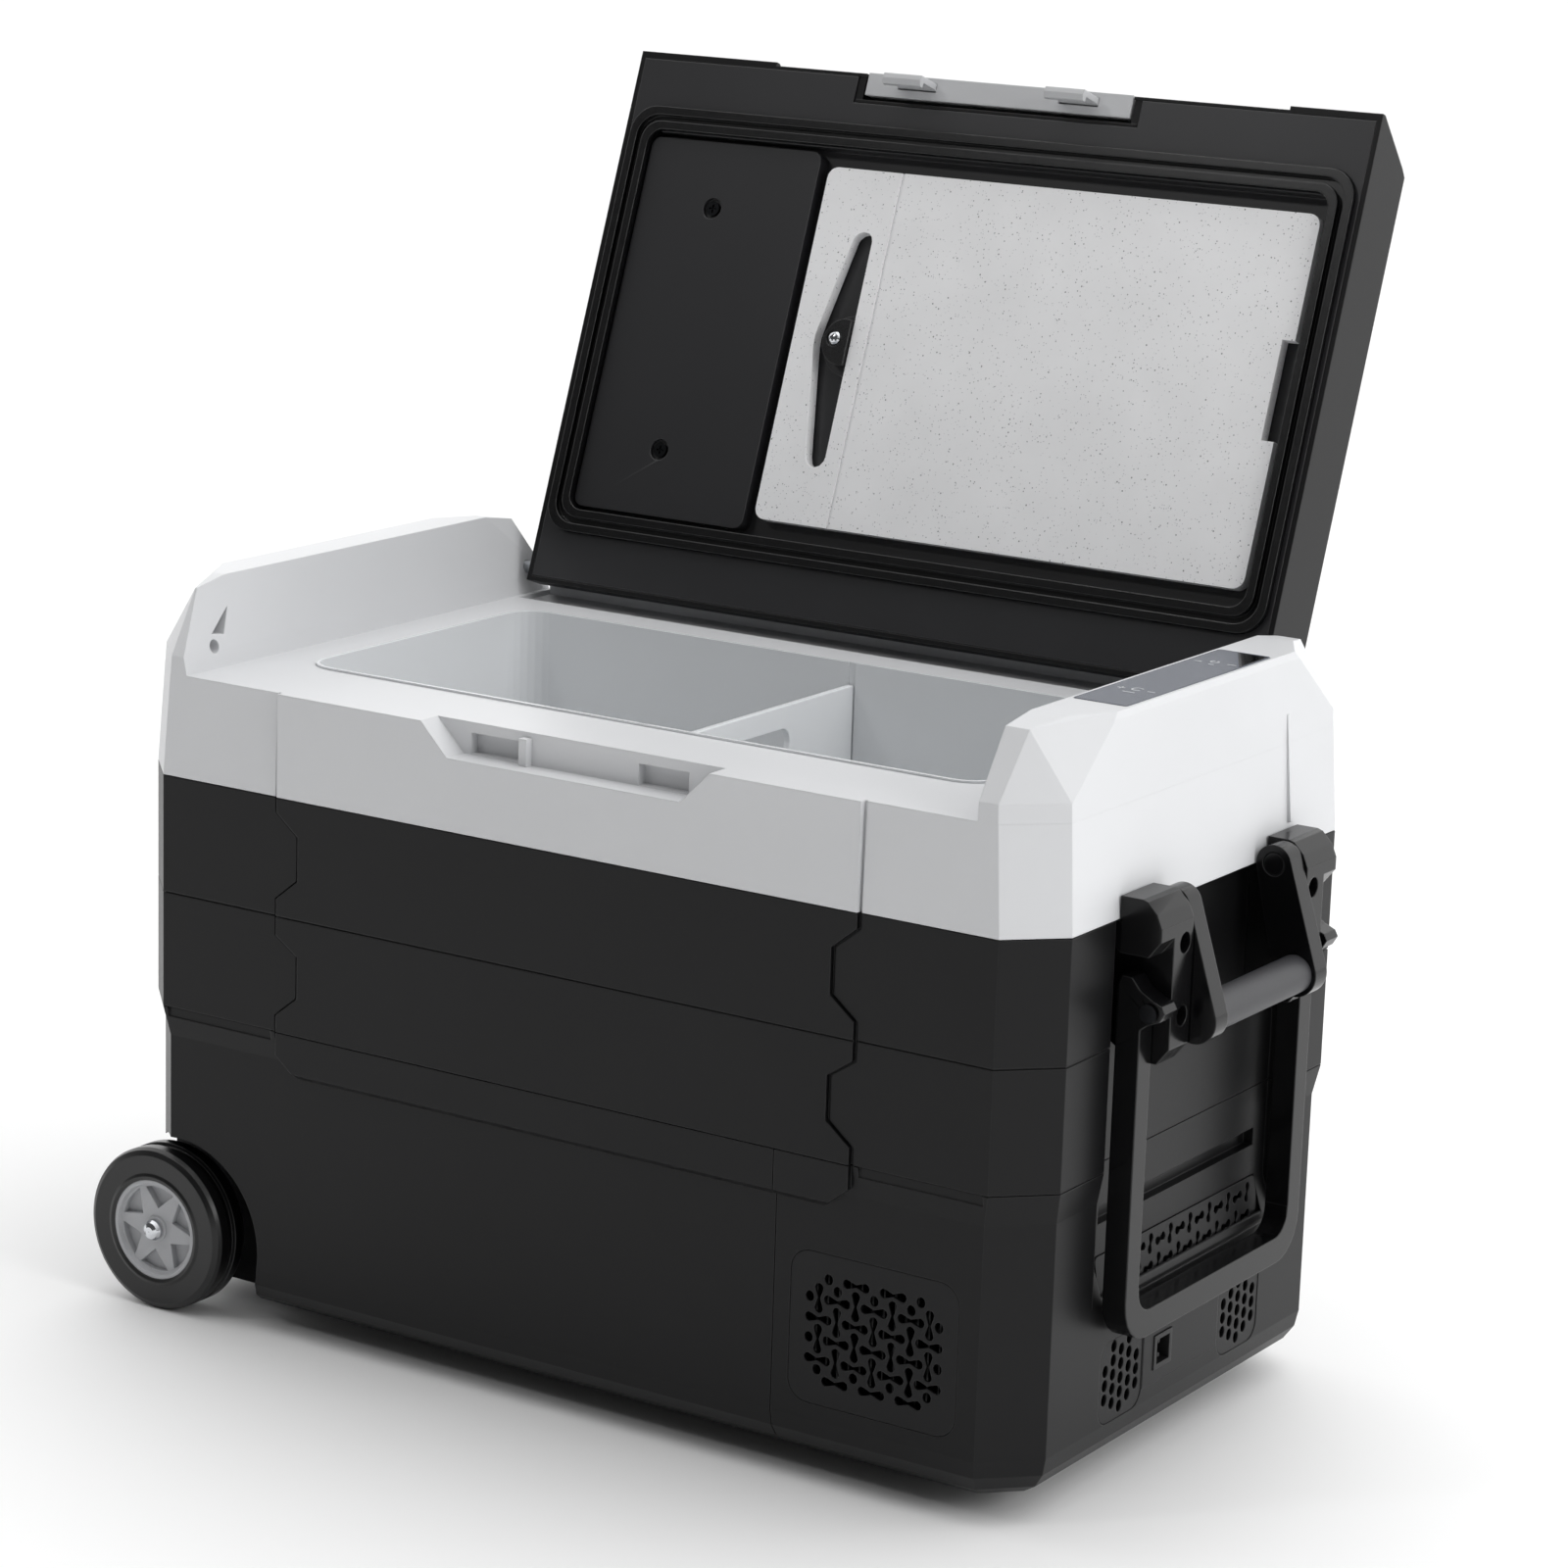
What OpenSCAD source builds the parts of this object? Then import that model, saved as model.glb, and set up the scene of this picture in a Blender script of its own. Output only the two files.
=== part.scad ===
// Portable compressor cooler fridge with two wheels, a carry handle, a swing-up
// pull handle and a hinged lid that carries a cutting board. Shown with the lid open.
// X runs along the long side towards the handles, Y to the hinge side, Z up.
// The origin is on the floor under the middle of the body.

/* [Body] */
// Length of the body without wheels and handles
body_w = 600; // [540:5:780]
// Depth of the body
body_d = 346; // [320:2:430]
// Size of the chamfer on each upright corner
corner = 27; // [20:1:34]
// Height of the underside above the floor
base_z = 12; // [10:1:20]
// Height of the joint between the lower and the upper dark shell
lower_top = 182; // [175:1:200]
// Height of the joint between the dark shell and the pale frame
split_z = 317; // [300:1:380]
// Height of the sill that the lid closes on, above the joint below it
sill_h = 59; // [54:1:75]
// Height of the side walls above the sill
wall_rise = 49; // [46:1:60]
// Thickness of the moulded shells
shell_t = 3; // [2.4:0.1:4]
// Radius of the lower edges
edge_r = 25; // [18:1:30]
// Length of the compressor bay at the handle end
bay_w = 156; // [150:1:190]

/* [Tub] */
// Insulated thickness at the wheel end
tub_wall_left = 72; // [64:1:90]
// Insulated thickness at the handle end
tub_wall_right = 78; // [70:1:95]
// Insulated thickness at the front and the back
tub_wall_side = 66; // [60:1:80]
// Height of the tub floor above the ground
tub_floor = 60; // [55:1:80]
// Wall thickness of the tub liner
liner_t = 2.5; // [2:0.1:3.5]
// Radius of the tub corners
tub_r = 20; // [12:1:28]
// Thickness of the lift-out divider
divider_t = 4; // [3:0.5:6]

/* [Lid] */
// Thickness of the lid
lid_t = 43; // [40:1:45]
// Angle of the open lid, from closed
lid_open = 109.4; // [95:0.2:112]
// Width of the gasket ring
gasket_w = 14; // [11:0.5:16]
// Length of the cutting board
board_w = 328; // [280:1:335]
// Depth of the cutting board
board_d = 216; // [196:1:222]
// Thickness of the cutting board
board_t = 8; // [6:0.5:9]

/* [Wheels] */
// Radius of the wheels
wheel_r = 48; // [44:1:50]
// Width of a tyre
tyre_w = 28; // [22:1:30]
// Radius of the axle
axle_r = 4; // [3:0.5:5]
// Radial running clearance of the wheels and pivots
running = 0.05; // [0.02:0.01:0.1]

/* [Handles] */
// Distance from the middle to the outer face of a pull handle rail
pull_half = 98; // [94:1:99]
// Width and depth of a pull handle rail
rail = 14; // [12:0.5:15]
// Height of the pull handle bar above the floor
pull_low = 88; // [84:1:92]
// Radius of the carry grip
grip_r = 10.5; // [9:0.5:12]
// Radius of the handle pivot pins
pin_r = 3; // [2.5:0.5:4]

/* [Hidden] */
$fn = 48;

dark = "#29292b";
pale = "#d4d6d8";

half_w = body_w / 2;
half_d = body_d / 2;
ledge_z = split_z + sill_h;
wall_top = ledge_z + wall_rise;
shoulder_z = ledge_z + 10;
bevel_z = wall_top - 4;
seam_gap = 0.6;
eps = 0.01;

set_back = 3;

// Raised middle of the front, with its zigzag ends and its lower lip
groove_z = (lower_top + split_z) / 2;
panel_out = half_w - 110;
panel_in = panel_out - 15;
panel_proud = 1.5;
panel_back = set_back + 1.5;
lip_cut = 3;
groove_w = 1.9;
pull_bend = 24;
shade_h = 5.5;
shade_cut = 1.8;
groove_cut = 1.6;
lip_z = lower_top - 25;
break_z = lower_top - 17;

// Compressor bay and its openings
bay_x = half_w - bay_w;
grille_x = bay_x + 62;
grille_z = 88;
grille_w = 103;
grille_h = 84;
vent_pitch = 11.3;
vent_lobe = 2.7;
vent_y = 66;
vent_z = 60;
vent_w = 46;
socket_w = 84;
socket_h = 30;
socket_z = 60;

// Recess behind the handles
recess_half = 101;
recess_floor = half_w - 10;
slope_top = 128;
slope_low = 97;
slot_z = 148;
slot_h = 10;

// Tub
tub_x0 = -half_w + tub_wall_left;
tub_x1 = half_w - tub_wall_right;
tub_y = half_d - tub_wall_side;
hump_x = bay_x - 34;
hump_z = lower_top + 25;
divider_x = 7;

// Wheels
wheel_x = -half_w + 23;
wheel_face = half_d + 5;
arch_x = wheel_x + 13;
arch_r = wheel_r + 10;
arch_depth = 40;
hub_r = 29.5;
rim_in = hub_r - 3.5;

// Side walls and lid
wall_foot = half_w - 43;
left_lean = 14;
lid_half = half_w - 48;
lid_gap = 4;
under_z = ledge_z + lid_gap;
lid_top = under_z + lid_t;
lid_front = -half_d + 2;
hinge_y = half_d - 19;
hinge_z = ledge_z + 15.2;
hinge_r = 4;
lid_back = hinge_y + 9;
rail_y = lid_back + 4.5;
rail_top = hinge_z - 11;

bulkhead_x = bay_x - 4;
bulkhead_y = half_d - panel_back - 1.5;

gasket_half = lid_half - 6;
gasket_y0 = lid_front + 34;
gasket_y1 = hinge_y - 24;
gasket_mid = (gasket_y0 + gasket_y1) / 2;
gasket_len = gasket_y1 - gasket_y0;
pocket_x0 = -gasket_half + gasket_w - 2;
pocket_x1 = gasket_half - gasket_w - 1;
pocket_y0 = gasket_y0 + gasket_w + 1;
pocket_y1 = gasket_y1 - gasket_w;
pocket_z = under_z + board_t + 2;
board_x1 = pocket_x1 - 4;
board_x0 = board_x1 - board_w;
board_y = (pocket_y0 + pocket_y1) / 2;
board_z = under_z + 1;
knob_x = board_x0 + 30.6;
knob_y = board_y - 5;
slot_edge = 10;
cam_top = board_z - 0.3;
cam_t = 2.7;
hub_boss_r = 7;
foot_x = half_w - 75;
foot_y = half_d - 75;
foot_hole = 2.2;

// Latch in the front edge of the lid
latch_x = 3;
latch_w = 180;
latch_y = lid_front + 11;
latch_z = under_z + 20;
hook_w = 26;
hook_x = 55;
recess_back = -half_d + 14;

// Handles at the end of the body
bracket_in = 64;
bracket_out = pull_half - rail;
bracket_x = half_w + 25;
bracket_top = split_z + 13;
arm_in = 50;
arm_t = 13;
lobe_r = 10.5;
carry_x = half_w + lobe_r + 1;
carry_z = split_z + 2;
grip_x = carry_x + 16;
grip_z = carry_z - 58;
pull_x = bracket_x - pin_r - 2;
pull_z = split_z - 46;
rail_x = half_w + 1;
pull_clear = 29;
screw_seat = 22;
key_r = 2.4;
cross_w = 1;

function chamfered(w, d, c) = [
    [-w/2 + c, -d/2], [w/2 - c, -d/2], [w/2, -d/2 + c], [w/2, d/2 - c],
    [w/2 - c, d/2], [-w/2 + c, d/2], [-w/2, d/2 - c], [-w/2, -d/2 + c]];

function rounded(x0, y0, x1, y1, r, n = 6) = [
    for (q = [0:3], k = [0:n])
        let (cx = (q == 0 || q == 3) ? x1 - r : x0 + r,
             cy = (q < 2) ? y1 - r : y0 + r,
             a = 90 * (q + k / n))
        [cx + r * cos(a), cy + r * sin(a)]];

module slab(z, inset_x, inset_y, less = 0) {
    translate([0, 0, z]) linear_extrude(eps)
        polygon(chamfered(body_w - 2 * inset_x, body_d - 2 * inset_y, corner - less));
}

module prism(z0, z1, inset) {
    translate([0, 0, z0]) linear_extrude(z1 - z0)
        polygon(chamfered(body_w - 2 * inset, body_d - 2 * inset, corner));
}

module block(p0, p1) {
    translate(p0) cube(p1 - p0);
}

module along_y(x, y0, y1, z, r) {
    translate([x, y0, z]) rotate([-90, 0, 0]) cylinder(r = r, h = y1 - y0);
}

module along_x(x0, x1, y, z, r) {
    translate([x0, y, z]) rotate([0, 90, 0]) cylinder(r = r, h = x1 - x0);
}

// A profile drawn in X and Z, extruded from y0 to y1
module side_profile(y0, y1) {
    translate([0, y1, 0]) rotate([90, 0, 0]) linear_extrude(y1 - y0) children();
}

// A profile drawn in Y and Z, extruded from x0 to x1
module cross_profile(x0, x1) {
    translate([x0, 0, 0]) rotate([90, 0, 90]) linear_extrude(x1 - x0) children();
}

// Both ends of something that is the same at -Y and +Y
module both_sides() {
    children();
    mirror([0, 1, 0]) children();
}

// Lid pieces are drawn closed and swung open about the hinge line
module on_lid() {
    translate([0, hinge_y, hinge_z]) rotate([-lid_open, 0, 0])
        translate([0, -hinge_y, -hinge_z]) children();
}

// ---- dark shells -------------------------------------------------------

// The lower body: rounded underside edges, upright sides, then a short flare
module lower_form(t) {
    hull() {
        for (k = [0:4])
            let (a = 90 * k / 4, i = (edge_r - t) * (1 - sin(a)))
            slab(base_z + t + (edge_r - t) * (1 - cos(a)), t + set_back + i, t + set_back + i,
                i * (2 - sqrt(2)));
        slab(break_z, t + set_back, t + set_back);
    }
    hull() {
        slab(break_z, t + set_back, t + set_back);
        slab(lower_top + (t > 0 ? 1 : 0), t, t);
    }
}

function zigzag(s) = [
    [s * panel_out, ledge_z + 5], [s * panel_out, split_z - 8],
    [s * panel_in, split_z - 20], [s * panel_in, groove_z + 22],
    [s * panel_out, groove_z + 10], [s * panel_out, groove_z - 11],
    [s * panel_in, groove_z - 21], [s * panel_in, lower_top + 22],
    [s * panel_out, lower_top + 10], [s * panel_out, lip_z + 12],
    [s * panel_in, lip_z]];

// The underside of the lip is bevelled
module front_panel(x0, x1, z0, z1) {
    face = -half_d - panel_proud;
    intersection() {
        side_profile(face, -half_d + panel_back)
            polygon(concat(zigzag(-1), [for (k = [10:-1:0]) zigzag(1)[k]]));
        cross_profile(x0, x1) polygon([[face - 4, z1], [face - 4, max(z0, lip_z + lip_cut + 4)],
            [face + lip_cut, z0], [0, z0], [0, z1]]);
    }
}

// Shadow line beside both ends of the raised panel, cut to depth y
module panel_groove(z0, z1, y) {
    for (s = [-1, 1]) intersection() {
        side_profile(-half_d - 9, y) polygon(concat(zigzag(s),
            [for (k = [10:-1:0]) zigzag(s)[k] + [s * groove_w, 0]]));
        block([-half_w, -half_d - 10, z0], [half_w, 0, z1]);
    }
}

// Shallow recess under the seam, between the raised panel and the corner
module seam_recess(s) {
    x0 = panel_out + 5;
    x1 = half_w - corner - 3;
    translate([s > 0 ? x0 : -x1, -half_d - 1, lower_top - shade_h])
        cube([x1 - x0, shade_cut + 1, shade_h + 1]);
}

module arch_cut() {
    both_sides() along_y(arch_x, -half_d - 20, -half_d + arch_depth, wheel_r - 2, arch_r);
}

module base_shell() color(dark) {
    difference() {
        union() {
            intersection() {
                difference() {
                    lower_form(0);
                    lower_form(shell_t);
                }
                block([-half_w - 1, -half_d - 1, 0], [bay_x - seam_gap / 2, half_d + 1, lower_top]);
            }
            intersection() {
                both_sides() along_y(arch_x, -half_d + 1, -half_d + arch_depth + shell_t,
                    wheel_r - 2, arch_r + shell_t);
                lower_form(0);
            }
            front_panel(-half_w, bay_x - seam_gap / 2, lip_z, lower_top);
            along_y(wheel_x, -half_d + arch_depth, half_d - arch_depth, wheel_r, axle_r + 5);
        }
        arch_cut();
        seam_recess(-1);
        panel_groove(lip_z, lower_top + 1, -half_d + groove_cut);
        along_y(wheel_x, -half_d, half_d, wheel_r, axle_r + running);
    }
}

module upper_shell() color(dark) {
    z0 = lower_top + seam_gap;
    difference() {
        union() {
            difference() {
                prism(z0, split_z, 0);
                prism(z0 - 1, split_z + 1, shell_t);
            }
            front_panel(-half_w, half_w, z0, split_z);
            block([recess_floor - shell_t, -recess_half - shell_t, z0],
                [half_w - 1, recess_half + shell_t, split_z]);
        }
        difference() {
            prism(groove_z - 0.5, groove_z + 0.5, -5);
            prism(groove_z - 1, groove_z + 1, 0.9);
            block([-panel_out, -half_d - 9, groove_z - 2], [panel_out, 0, groove_z + 2]);
        }
        block([-panel_out - 1, -half_d - 9, groove_z - 0.5],
            [panel_out + 1, -half_d - panel_proud + 0.9, groove_z + 0.5]);
        panel_groove(z0 - 1, split_z + 1, -half_d + groove_cut);
        block([recess_floor, -recess_half, z0 - 1], [half_w + 9, recess_half, split_z + 1]);
        bracket_screw_places() along_x(-30, 0, 0, 0, 2.2);
    }
}

module compressor_cover() color(dark) {
    x0 = bay_x + seam_gap / 2;
    slope = [[recess_floor, slope_top], [half_w + 9, slope_low - 28],
        [half_w + 9, lower_top + 9], [recess_floor, lower_top + 9]];
    difference() {
        union() {
            intersection() {
                difference() {
                    lower_form(0);
                    lower_form(shell_t);
                }
                block([x0, -half_d - 1, 0], [half_w + 1, half_d + 1, lower_top]);
            }
            front_panel(x0, half_w, lip_z, lower_top);
            intersection() {
                block([recess_floor - 8, -recess_half - shell_t, slope_low - 8],
                    [half_w - set_back - 1, recess_half + shell_t, lower_top]);
                lower_form(0);
            }
        }
        side_profile(-recess_half, recess_half) polygon(slope);
        seam_recess(1);
        panel_groove(lip_z, lower_top + 1, -half_d + groove_cut);
        foot_places() cylinder(r = foot_hole, h = 40);
        // slot across the recess
        block([recess_floor - 6, -recess_half + 14, slot_z],
            [recess_floor + 1, recess_half - 14, slot_z + slot_h]);
        // seat and opening of the front grille
        side_profile(-half_d - 9, -half_d + set_back + 2) polygon(grille_outline(0.3));
        side_profile(-half_d - 9, -half_d + 20) polygon(grille_outline(-5));
        // openings of the end grilles, the sloped grille and the socket plate
        both_sides() {
            cross_profile(half_w - set_back - 2, half_w + 9) translate([vent_y, vent_z])
                polygon(rounded(-vent_w/2 - 0.3, -vent_w/2 - 0.3, vent_w/2 + 0.3, vent_w/2 + 0.3, 10));
            cross_profile(half_w - 20, half_w + 9) translate([vent_y, vent_z])
                polygon(rounded(-vent_w/2 + 3, -vent_w/2 + 3, vent_w/2 - 3, vent_w/2 - 3, 8));
        }
        on_slope() block([-12, -recess_half + 11, -14], [1, recess_half - 11, 14]);
        block([half_w - set_back - 1.6, -socket_w/2 - 0.2, socket_z - socket_h/2 - 0.2],
            [half_w + 9, socket_w/2 + 0.2, socket_z + socket_h/2 + 0.2]);
        block([half_w - 30, -32, socket_z - 9], [half_w, -10, socket_z + 13]);
    }
}

module on_slope() {
    translate([(recess_floor + half_w - set_back) / 2, 0, (slope_top + slope_low + 9) / 2])
        rotate([0, -atan(10 / (slope_top - slope_low + 28)), 0]) children();
}

module bay_bulkhead() color("#8d9196") {
    difference() {
        intersection() {
            union() {
                block([bulkhead_x, -bulkhead_y, base_z], [bulkhead_x + 2, bulkhead_y, lower_top + 6]);
                block([bulkhead_x, -bulkhead_y, lower_top + 4],
                    [recess_floor - 6, bulkhead_y, lower_top + 6]);
            }
            union() {
                lower_form(shell_t + 0.6);
                prism(lower_top - 5, lower_top + 7, shell_t + 2);
            }
        }
        refrigerant_path(0.6);
    }
}

module base_plate() color("#a4a8ac") {
    difference() {
        block([bay_x + 4, -half_d + 34, base_z + 4], [half_w - edge_r - corner, half_d - 34, base_z + 6]);
        for (k = [0:5])
            block([bay_x + 28 + 16 * k, -40, base_z], [bay_x + 34 + 16 * k, -10, base_z + 9]);
    }
}

module foot_places() {
    both_sides() translate([foot_x, -foot_y, 0]) children();
}

module rubber_feet() color("#1b1b1c") {
    foot_places() difference() {
        cylinder(r = 14, h = base_z - 0.2);
        translate([0, 0, -1]) cylinder(r = 6, h = 6);
        cylinder(r = 2.3, h = base_z + 1);
    }
}

module foot_screws() color("#b9bcc0") {
    foot_places() {
        translate([0, 0, 2.4]) cylinder(r = 4.5, h = 2.6);
        translate([0, 0, 4]) cylinder(r = 2, h = base_z + shell_t - 3.4);
    }
}

// ---- pale frame --------------------------------------------------------

function wall_outline(x_in, x_out, y_out, cut_x, cut_y) = [
    [x_in, -y_out], [x_out - cut_x, -y_out], [x_out, -y_out + cut_y],
    [x_out, y_out - cut_y], [x_out - cut_x, y_out], [x_in, y_out]];

// Side wall above the sill, for the +X side. lean moves the inner face outwards.
module side_wall(lean) {
    levels = [
        [ledge_z - 2, wall_foot, half_w - 4, half_d - 1.4, corner, corner],
        [shoulder_z, wall_foot + lean * 0.2, half_w - 4.7, half_d - 1.7, corner, corner],
        [bevel_z, wall_foot + lean * 0.92, half_w - 6, half_d - 25, 23, 46],
        [wall_top - eps, wall_foot + lean, half_w - 7, half_d - 50, 14, 25]];
    hull() for (v = levels)
        translate([0, 0, v[0]]) linear_extrude(eps)
            polygon(wall_outline(v[1], v[2], v[3], v[4], v[5]));
}

module latch_recess() {
    w = latch_w / 2;
    translate([latch_x, 0, 0]) side_profile(-half_d - 9, recess_back)
        polygon([[-w - 5, ledge_z + 1], [-w - 3, ledge_z - 1], [-w + 14, ledge_z - 18],
            [w - 14, ledge_z - 18], [w + 3, ledge_z - 1], [w + 5, ledge_z + 1]]);
    for (s = [-1, 1]) translate([latch_x + s * hook_x, 0, 0])
        block([-hook_w/2 - 3, recess_back - 1, ledge_z - 17.5],
            [hook_w/2 + 3, recess_back + 6, ledge_z - 6]);
}

module top_frame() color(pale) {
    z0 = split_z + seam_gap;
    difference() {
        union() {
            hull() {
                slab(z0, 0, 0);
                slab(ledge_z - eps, 4, 1.4);
            }
            front_panel(-half_w, half_w, z0, ledge_z);
            side_wall(0);
            mirror([1, 0, 0]) side_wall(left_lean);
            // rail behind the trough
            block([-lid_half - 2, rail_y, ledge_z - 4], [lid_half + 2, half_d - 1.6, rail_top]);
            // upright crease on the end wall
            side_profile(half_d - 84.4, half_d - 81.6) polygon([[half_w - 1.4, bracket_top + 3],
                [half_w + 0.9, bracket_top + 3], [half_w - 4.4, shoulder_z + 6],
                [half_w - 9, shoulder_z + 6]]);
        }
        panel_groove(z0 - 1, ledge_z + 9, -half_d + groove_cut + 1.2);
        difference() {
            union() {
                prism(z0 - 1, ledge_z - 4, 5);
                // control cavity in the thick wall
                block([wall_foot + 5, -half_d + 60, ledge_z - 5],
                    [half_w - 12, half_d - 60, wall_top - 4]);
            }
            block([latch_x - latch_w/2 - 12, -half_d, ledge_z - 24],
                [latch_x + latch_w/2 + 12, recess_back + 10, ledge_z]);
        }
        // tub opening
        translate([0, 0, split_z]) linear_extrude(wall_rise + sill_h)
            polygon(rounded(tub_x0, -tub_y, tub_x1, tub_y, tub_r));
        // trough that the hinge edge of the lid swings in
        block([-lid_half - 2, hinge_y - 19, ledge_z - 3], [lid_half + 2, rail_y, ledge_z + 1]);
        latch_recess();
        // seat of the control panel
        translate([0, 0, wall_top - 1.6]) linear_extrude(5)
            polygon(rounded(wall_foot + 2, -half_d + 88, half_w - 9, half_d - 98, 2));
        block([wall_foot + 8, -half_d + 96, wall_top - 6], [half_w - 15, half_d - 106, wall_top]);
        // hinge sockets
        for (s = [-1, 1]) along_x(s > 0 ? wall_foot - 9 : -wall_foot - 20,
            s > 0 ? wall_foot + 20 : -wall_foot + 9, hinge_y, hinge_z, hinge_r);
        // small openings at the front ends of the walls
        along_x(-wall_foot - left_lean - 6, -wall_foot + 5, -half_d + 29, ledge_z + 12, 3.9);
        cross_profile(-wall_foot - left_lean - 6, -wall_foot + 5)
            polygon([[-half_d + 29, ledge_z + 19], [-half_d + 39, ledge_z + 17.5],
                [-half_d + 47, ledge_z + 32]]);
        block([wall_foot - 1, -half_d + 12, ledge_z + 6], [wall_foot + 5, -half_d + 18, ledge_z + 13]);
    }
    translate([latch_x - hook_x + hook_w/2 + 6, 0, 0])
        block([0, recess_back - 5, ledge_z - 18], [5, recess_back + 1, ledge_z - 3]);
}

module control_panel() color("#4a5058") {
    translate([0, 0, wall_top - 1.5]) linear_extrude(1.8)
        polygon(rounded(wall_foot + 2.3, -half_d + 88.3, half_w - 9.3, half_d - 98.3, 2));
}

module display_board() color("#2c5a3a") {
    block([wall_foot + 7, -half_d + 92, wall_top - 12], [half_w - 14, half_d - 102, wall_top - 10.4]);
    block([wall_foot + 11, -half_d + 110, wall_top - 10.4], [half_w - 18, -half_d + 150, wall_top - 7.5]);
    block([wall_foot + 11, 10, wall_top - 10.4], [wall_foot + 17, 18, wall_top - 8.5]);
}

// ---- tub ---------------------------------------------------------------

// Outline of the inside of the tub, up to x1, grown on every side
function tub_plan(x1, grow) = rounded(tub_x0 + liner_t - grow, -tub_y + liner_t - grow,
    x1 + grow, tub_y - liner_t + grow, tub_r - liner_t + grow);

module tub_volume(grow, top) {
    translate([0, 0, tub_floor - grow]) linear_extrude(top - tub_floor + grow)
        polygon(tub_plan(hump_x, grow));
    tub_skin(hump_z - grow, top, grow);
}

module tub_skin(z0, z1, grow) {
    translate([0, 0, z0]) linear_extrude(z1 - z0) polygon(tub_plan(tub_x1 - liner_t, grow));
}

module tub_liner() color("#e4e6e8") {
    difference() {
        union() {
            tub_volume(liner_t - 0.3, ledge_z + 1.2);
            translate([0, 0, ledge_z - 8]) linear_extrude(3.6)
                polygon(rounded(tub_x0 - 9, -tub_y - 9, tub_x1 + 9, tub_y + 9, tub_r + 9));
        }
        tub_volume(0, ledge_z + 5);
        // guide grooves for the divider
        block([divider_x - divider_t/2 - 0.4, -tub_y + liner_t - 1, tub_floor + 30],
            [divider_x + divider_t/2 + 0.4, tub_y - liner_t + 1, ledge_z + 5]);
    }
}

module divider() color("#eceef0") {
    t = divider_t / 2;
    difference() {
        block([divider_x - t, -tub_y + liner_t + 0.4, tub_floor + 0.4],
            [divider_x + t, tub_y - liner_t - 0.4, ledge_z - 12]);
        for (k = [-2:2])
            block([divider_x - 9, 32 * k - 9, tub_floor + 60], [divider_x + 9, 32 * k + 9, tub_floor + 90]);
        side_slot_cut();
    }
}

// Finger slot near the top of the divider
module side_slot_cut() {
    cross_profile(divider_x - 9, divider_x + 9) translate([0, ledge_z - 34])
        polygon(rounded(-38, -9, 38, 9, 8.5));
}

module evaporator() color("#b7bcc1") {
    z0 = hump_z + 20;
    difference() {
        tub_skin(z0, z0 + 100, liner_t + 2);
        tub_skin(z0 - 1, z0 + 101, liner_t + 0.4);
    }
}

module foam_insulation() color("#e8d9a8") {
    difference() {
        union() {
            prism(lower_top + 8, ledge_z - 9, 5.5);
            intersection() {
                prism(base_z + edge_r + 2, lower_top + 9, 8);
                block([-half_w, -half_d, 0], [bay_x - 6, half_d, lower_top + 9]);
            }
        }
        tub_volume(liner_t + 0.2, ledge_z + 5);
        tub_skin(hump_z + 19, hump_z + 121, liner_t + 2.3);
        both_sides() along_y(arch_x, -half_d - 20, -half_d + arch_depth + shell_t + 1,
            wheel_r - 2, arch_r + shell_t + 1);
        along_y(wheel_x, -half_d, half_d, wheel_r, axle_r + 6);
        block([recess_floor - shell_t - 2, -recess_half - 6, 0], [half_w, recess_half + 6, split_z + 1]);
        block([latch_x - latch_w/2 - 14, -half_d, ledge_z - 27],
            [latch_x + latch_w/2 + 14, recess_back + 12, ledge_z]);
        refrigerant_path(1);
        bracket_screw_places() along_x(-14, 9, 0, 0, 3);
    }
}

// ---- grilles and socket ------------------------------------------------

function grille_outline(g) = rounded(grille_x - grille_w/2 - g, grille_z - grille_h/2 - g,
    grille_x + grille_w/2 + g, grille_z + grille_h/2 + g, 12 + g);

// One vent hole: two round lobes joined by a narrow waist
function dumbbell(len, r, waist) = [
    for (s = [1, -1], k = [0:7])
        let (a = -125 + 250 * k / 6)
        k == 7 ? [0, s * waist] : [s * (len/2 - r + r * cos(a)), s * r * sin(a)]];

function oval(rx, ry) = [for (k = [0:11]) [rx * cos(30 * k), ry * sin(30 * k)]];

// Basket weave of vent holes. Where only one lobe falls inside the field, it stays as a dot.
module vent_field(nx, nz, pitch, r) {
    for (i = [-nx - 1:nx + 1], j = [-nz:nz + 1]) {
        flat = (i + j) % 2 == 0;
        arm = flat ? [0.5, 0] : [0, 0.5];
        lobes = [for (s = [-1, 1]) [i, j - 0.5] + s * arm];
        kept = [for (c = lobes)
            if (abs(c[0]) <= nx + 0.5 && abs(c[1]) <= nz + 0.5 && abs(c[0]) + abs(c[1]) < nx + nz + 0.2) c];
        if (len(kept) == 2) translate([i, j - 0.5] * pitch)
            rotate(flat ? 0 : 90) polygon(dumbbell(pitch + 2 * r, r, r * 0.28));
        if (len(kept) == 1) translate(kept[0] * pitch) polygon(oval(r, r * 1.1));
    }
}

module front_grille() color(dark) {
    side_profile(-half_d + set_back + 0.2, -half_d + set_back + 2)
        difference() {
            polygon(grille_outline(0));
            translate([grille_x, grille_z]) vent_field(3, 2, vent_pitch, vent_lobe);
        }
}

module end_grilles() color(dark) {
    both_sides() cross_profile(half_w - set_back - 1.9, half_w - set_back - 0.3)
        translate([vent_y, vent_z]) difference() {
            polygon(rounded(-vent_w/2, -vent_w/2, vent_w/2, vent_w/2, 10));
            for (i = [-2:2], j = [-2:2]) if (abs(i) + abs(j) < 4)
                translate([i * 8.4, j * 8 + (abs(i) % 2 == 0 ? 0 : 4) - 1]) polygon(oval(3, 3.5));
        }
}

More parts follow.
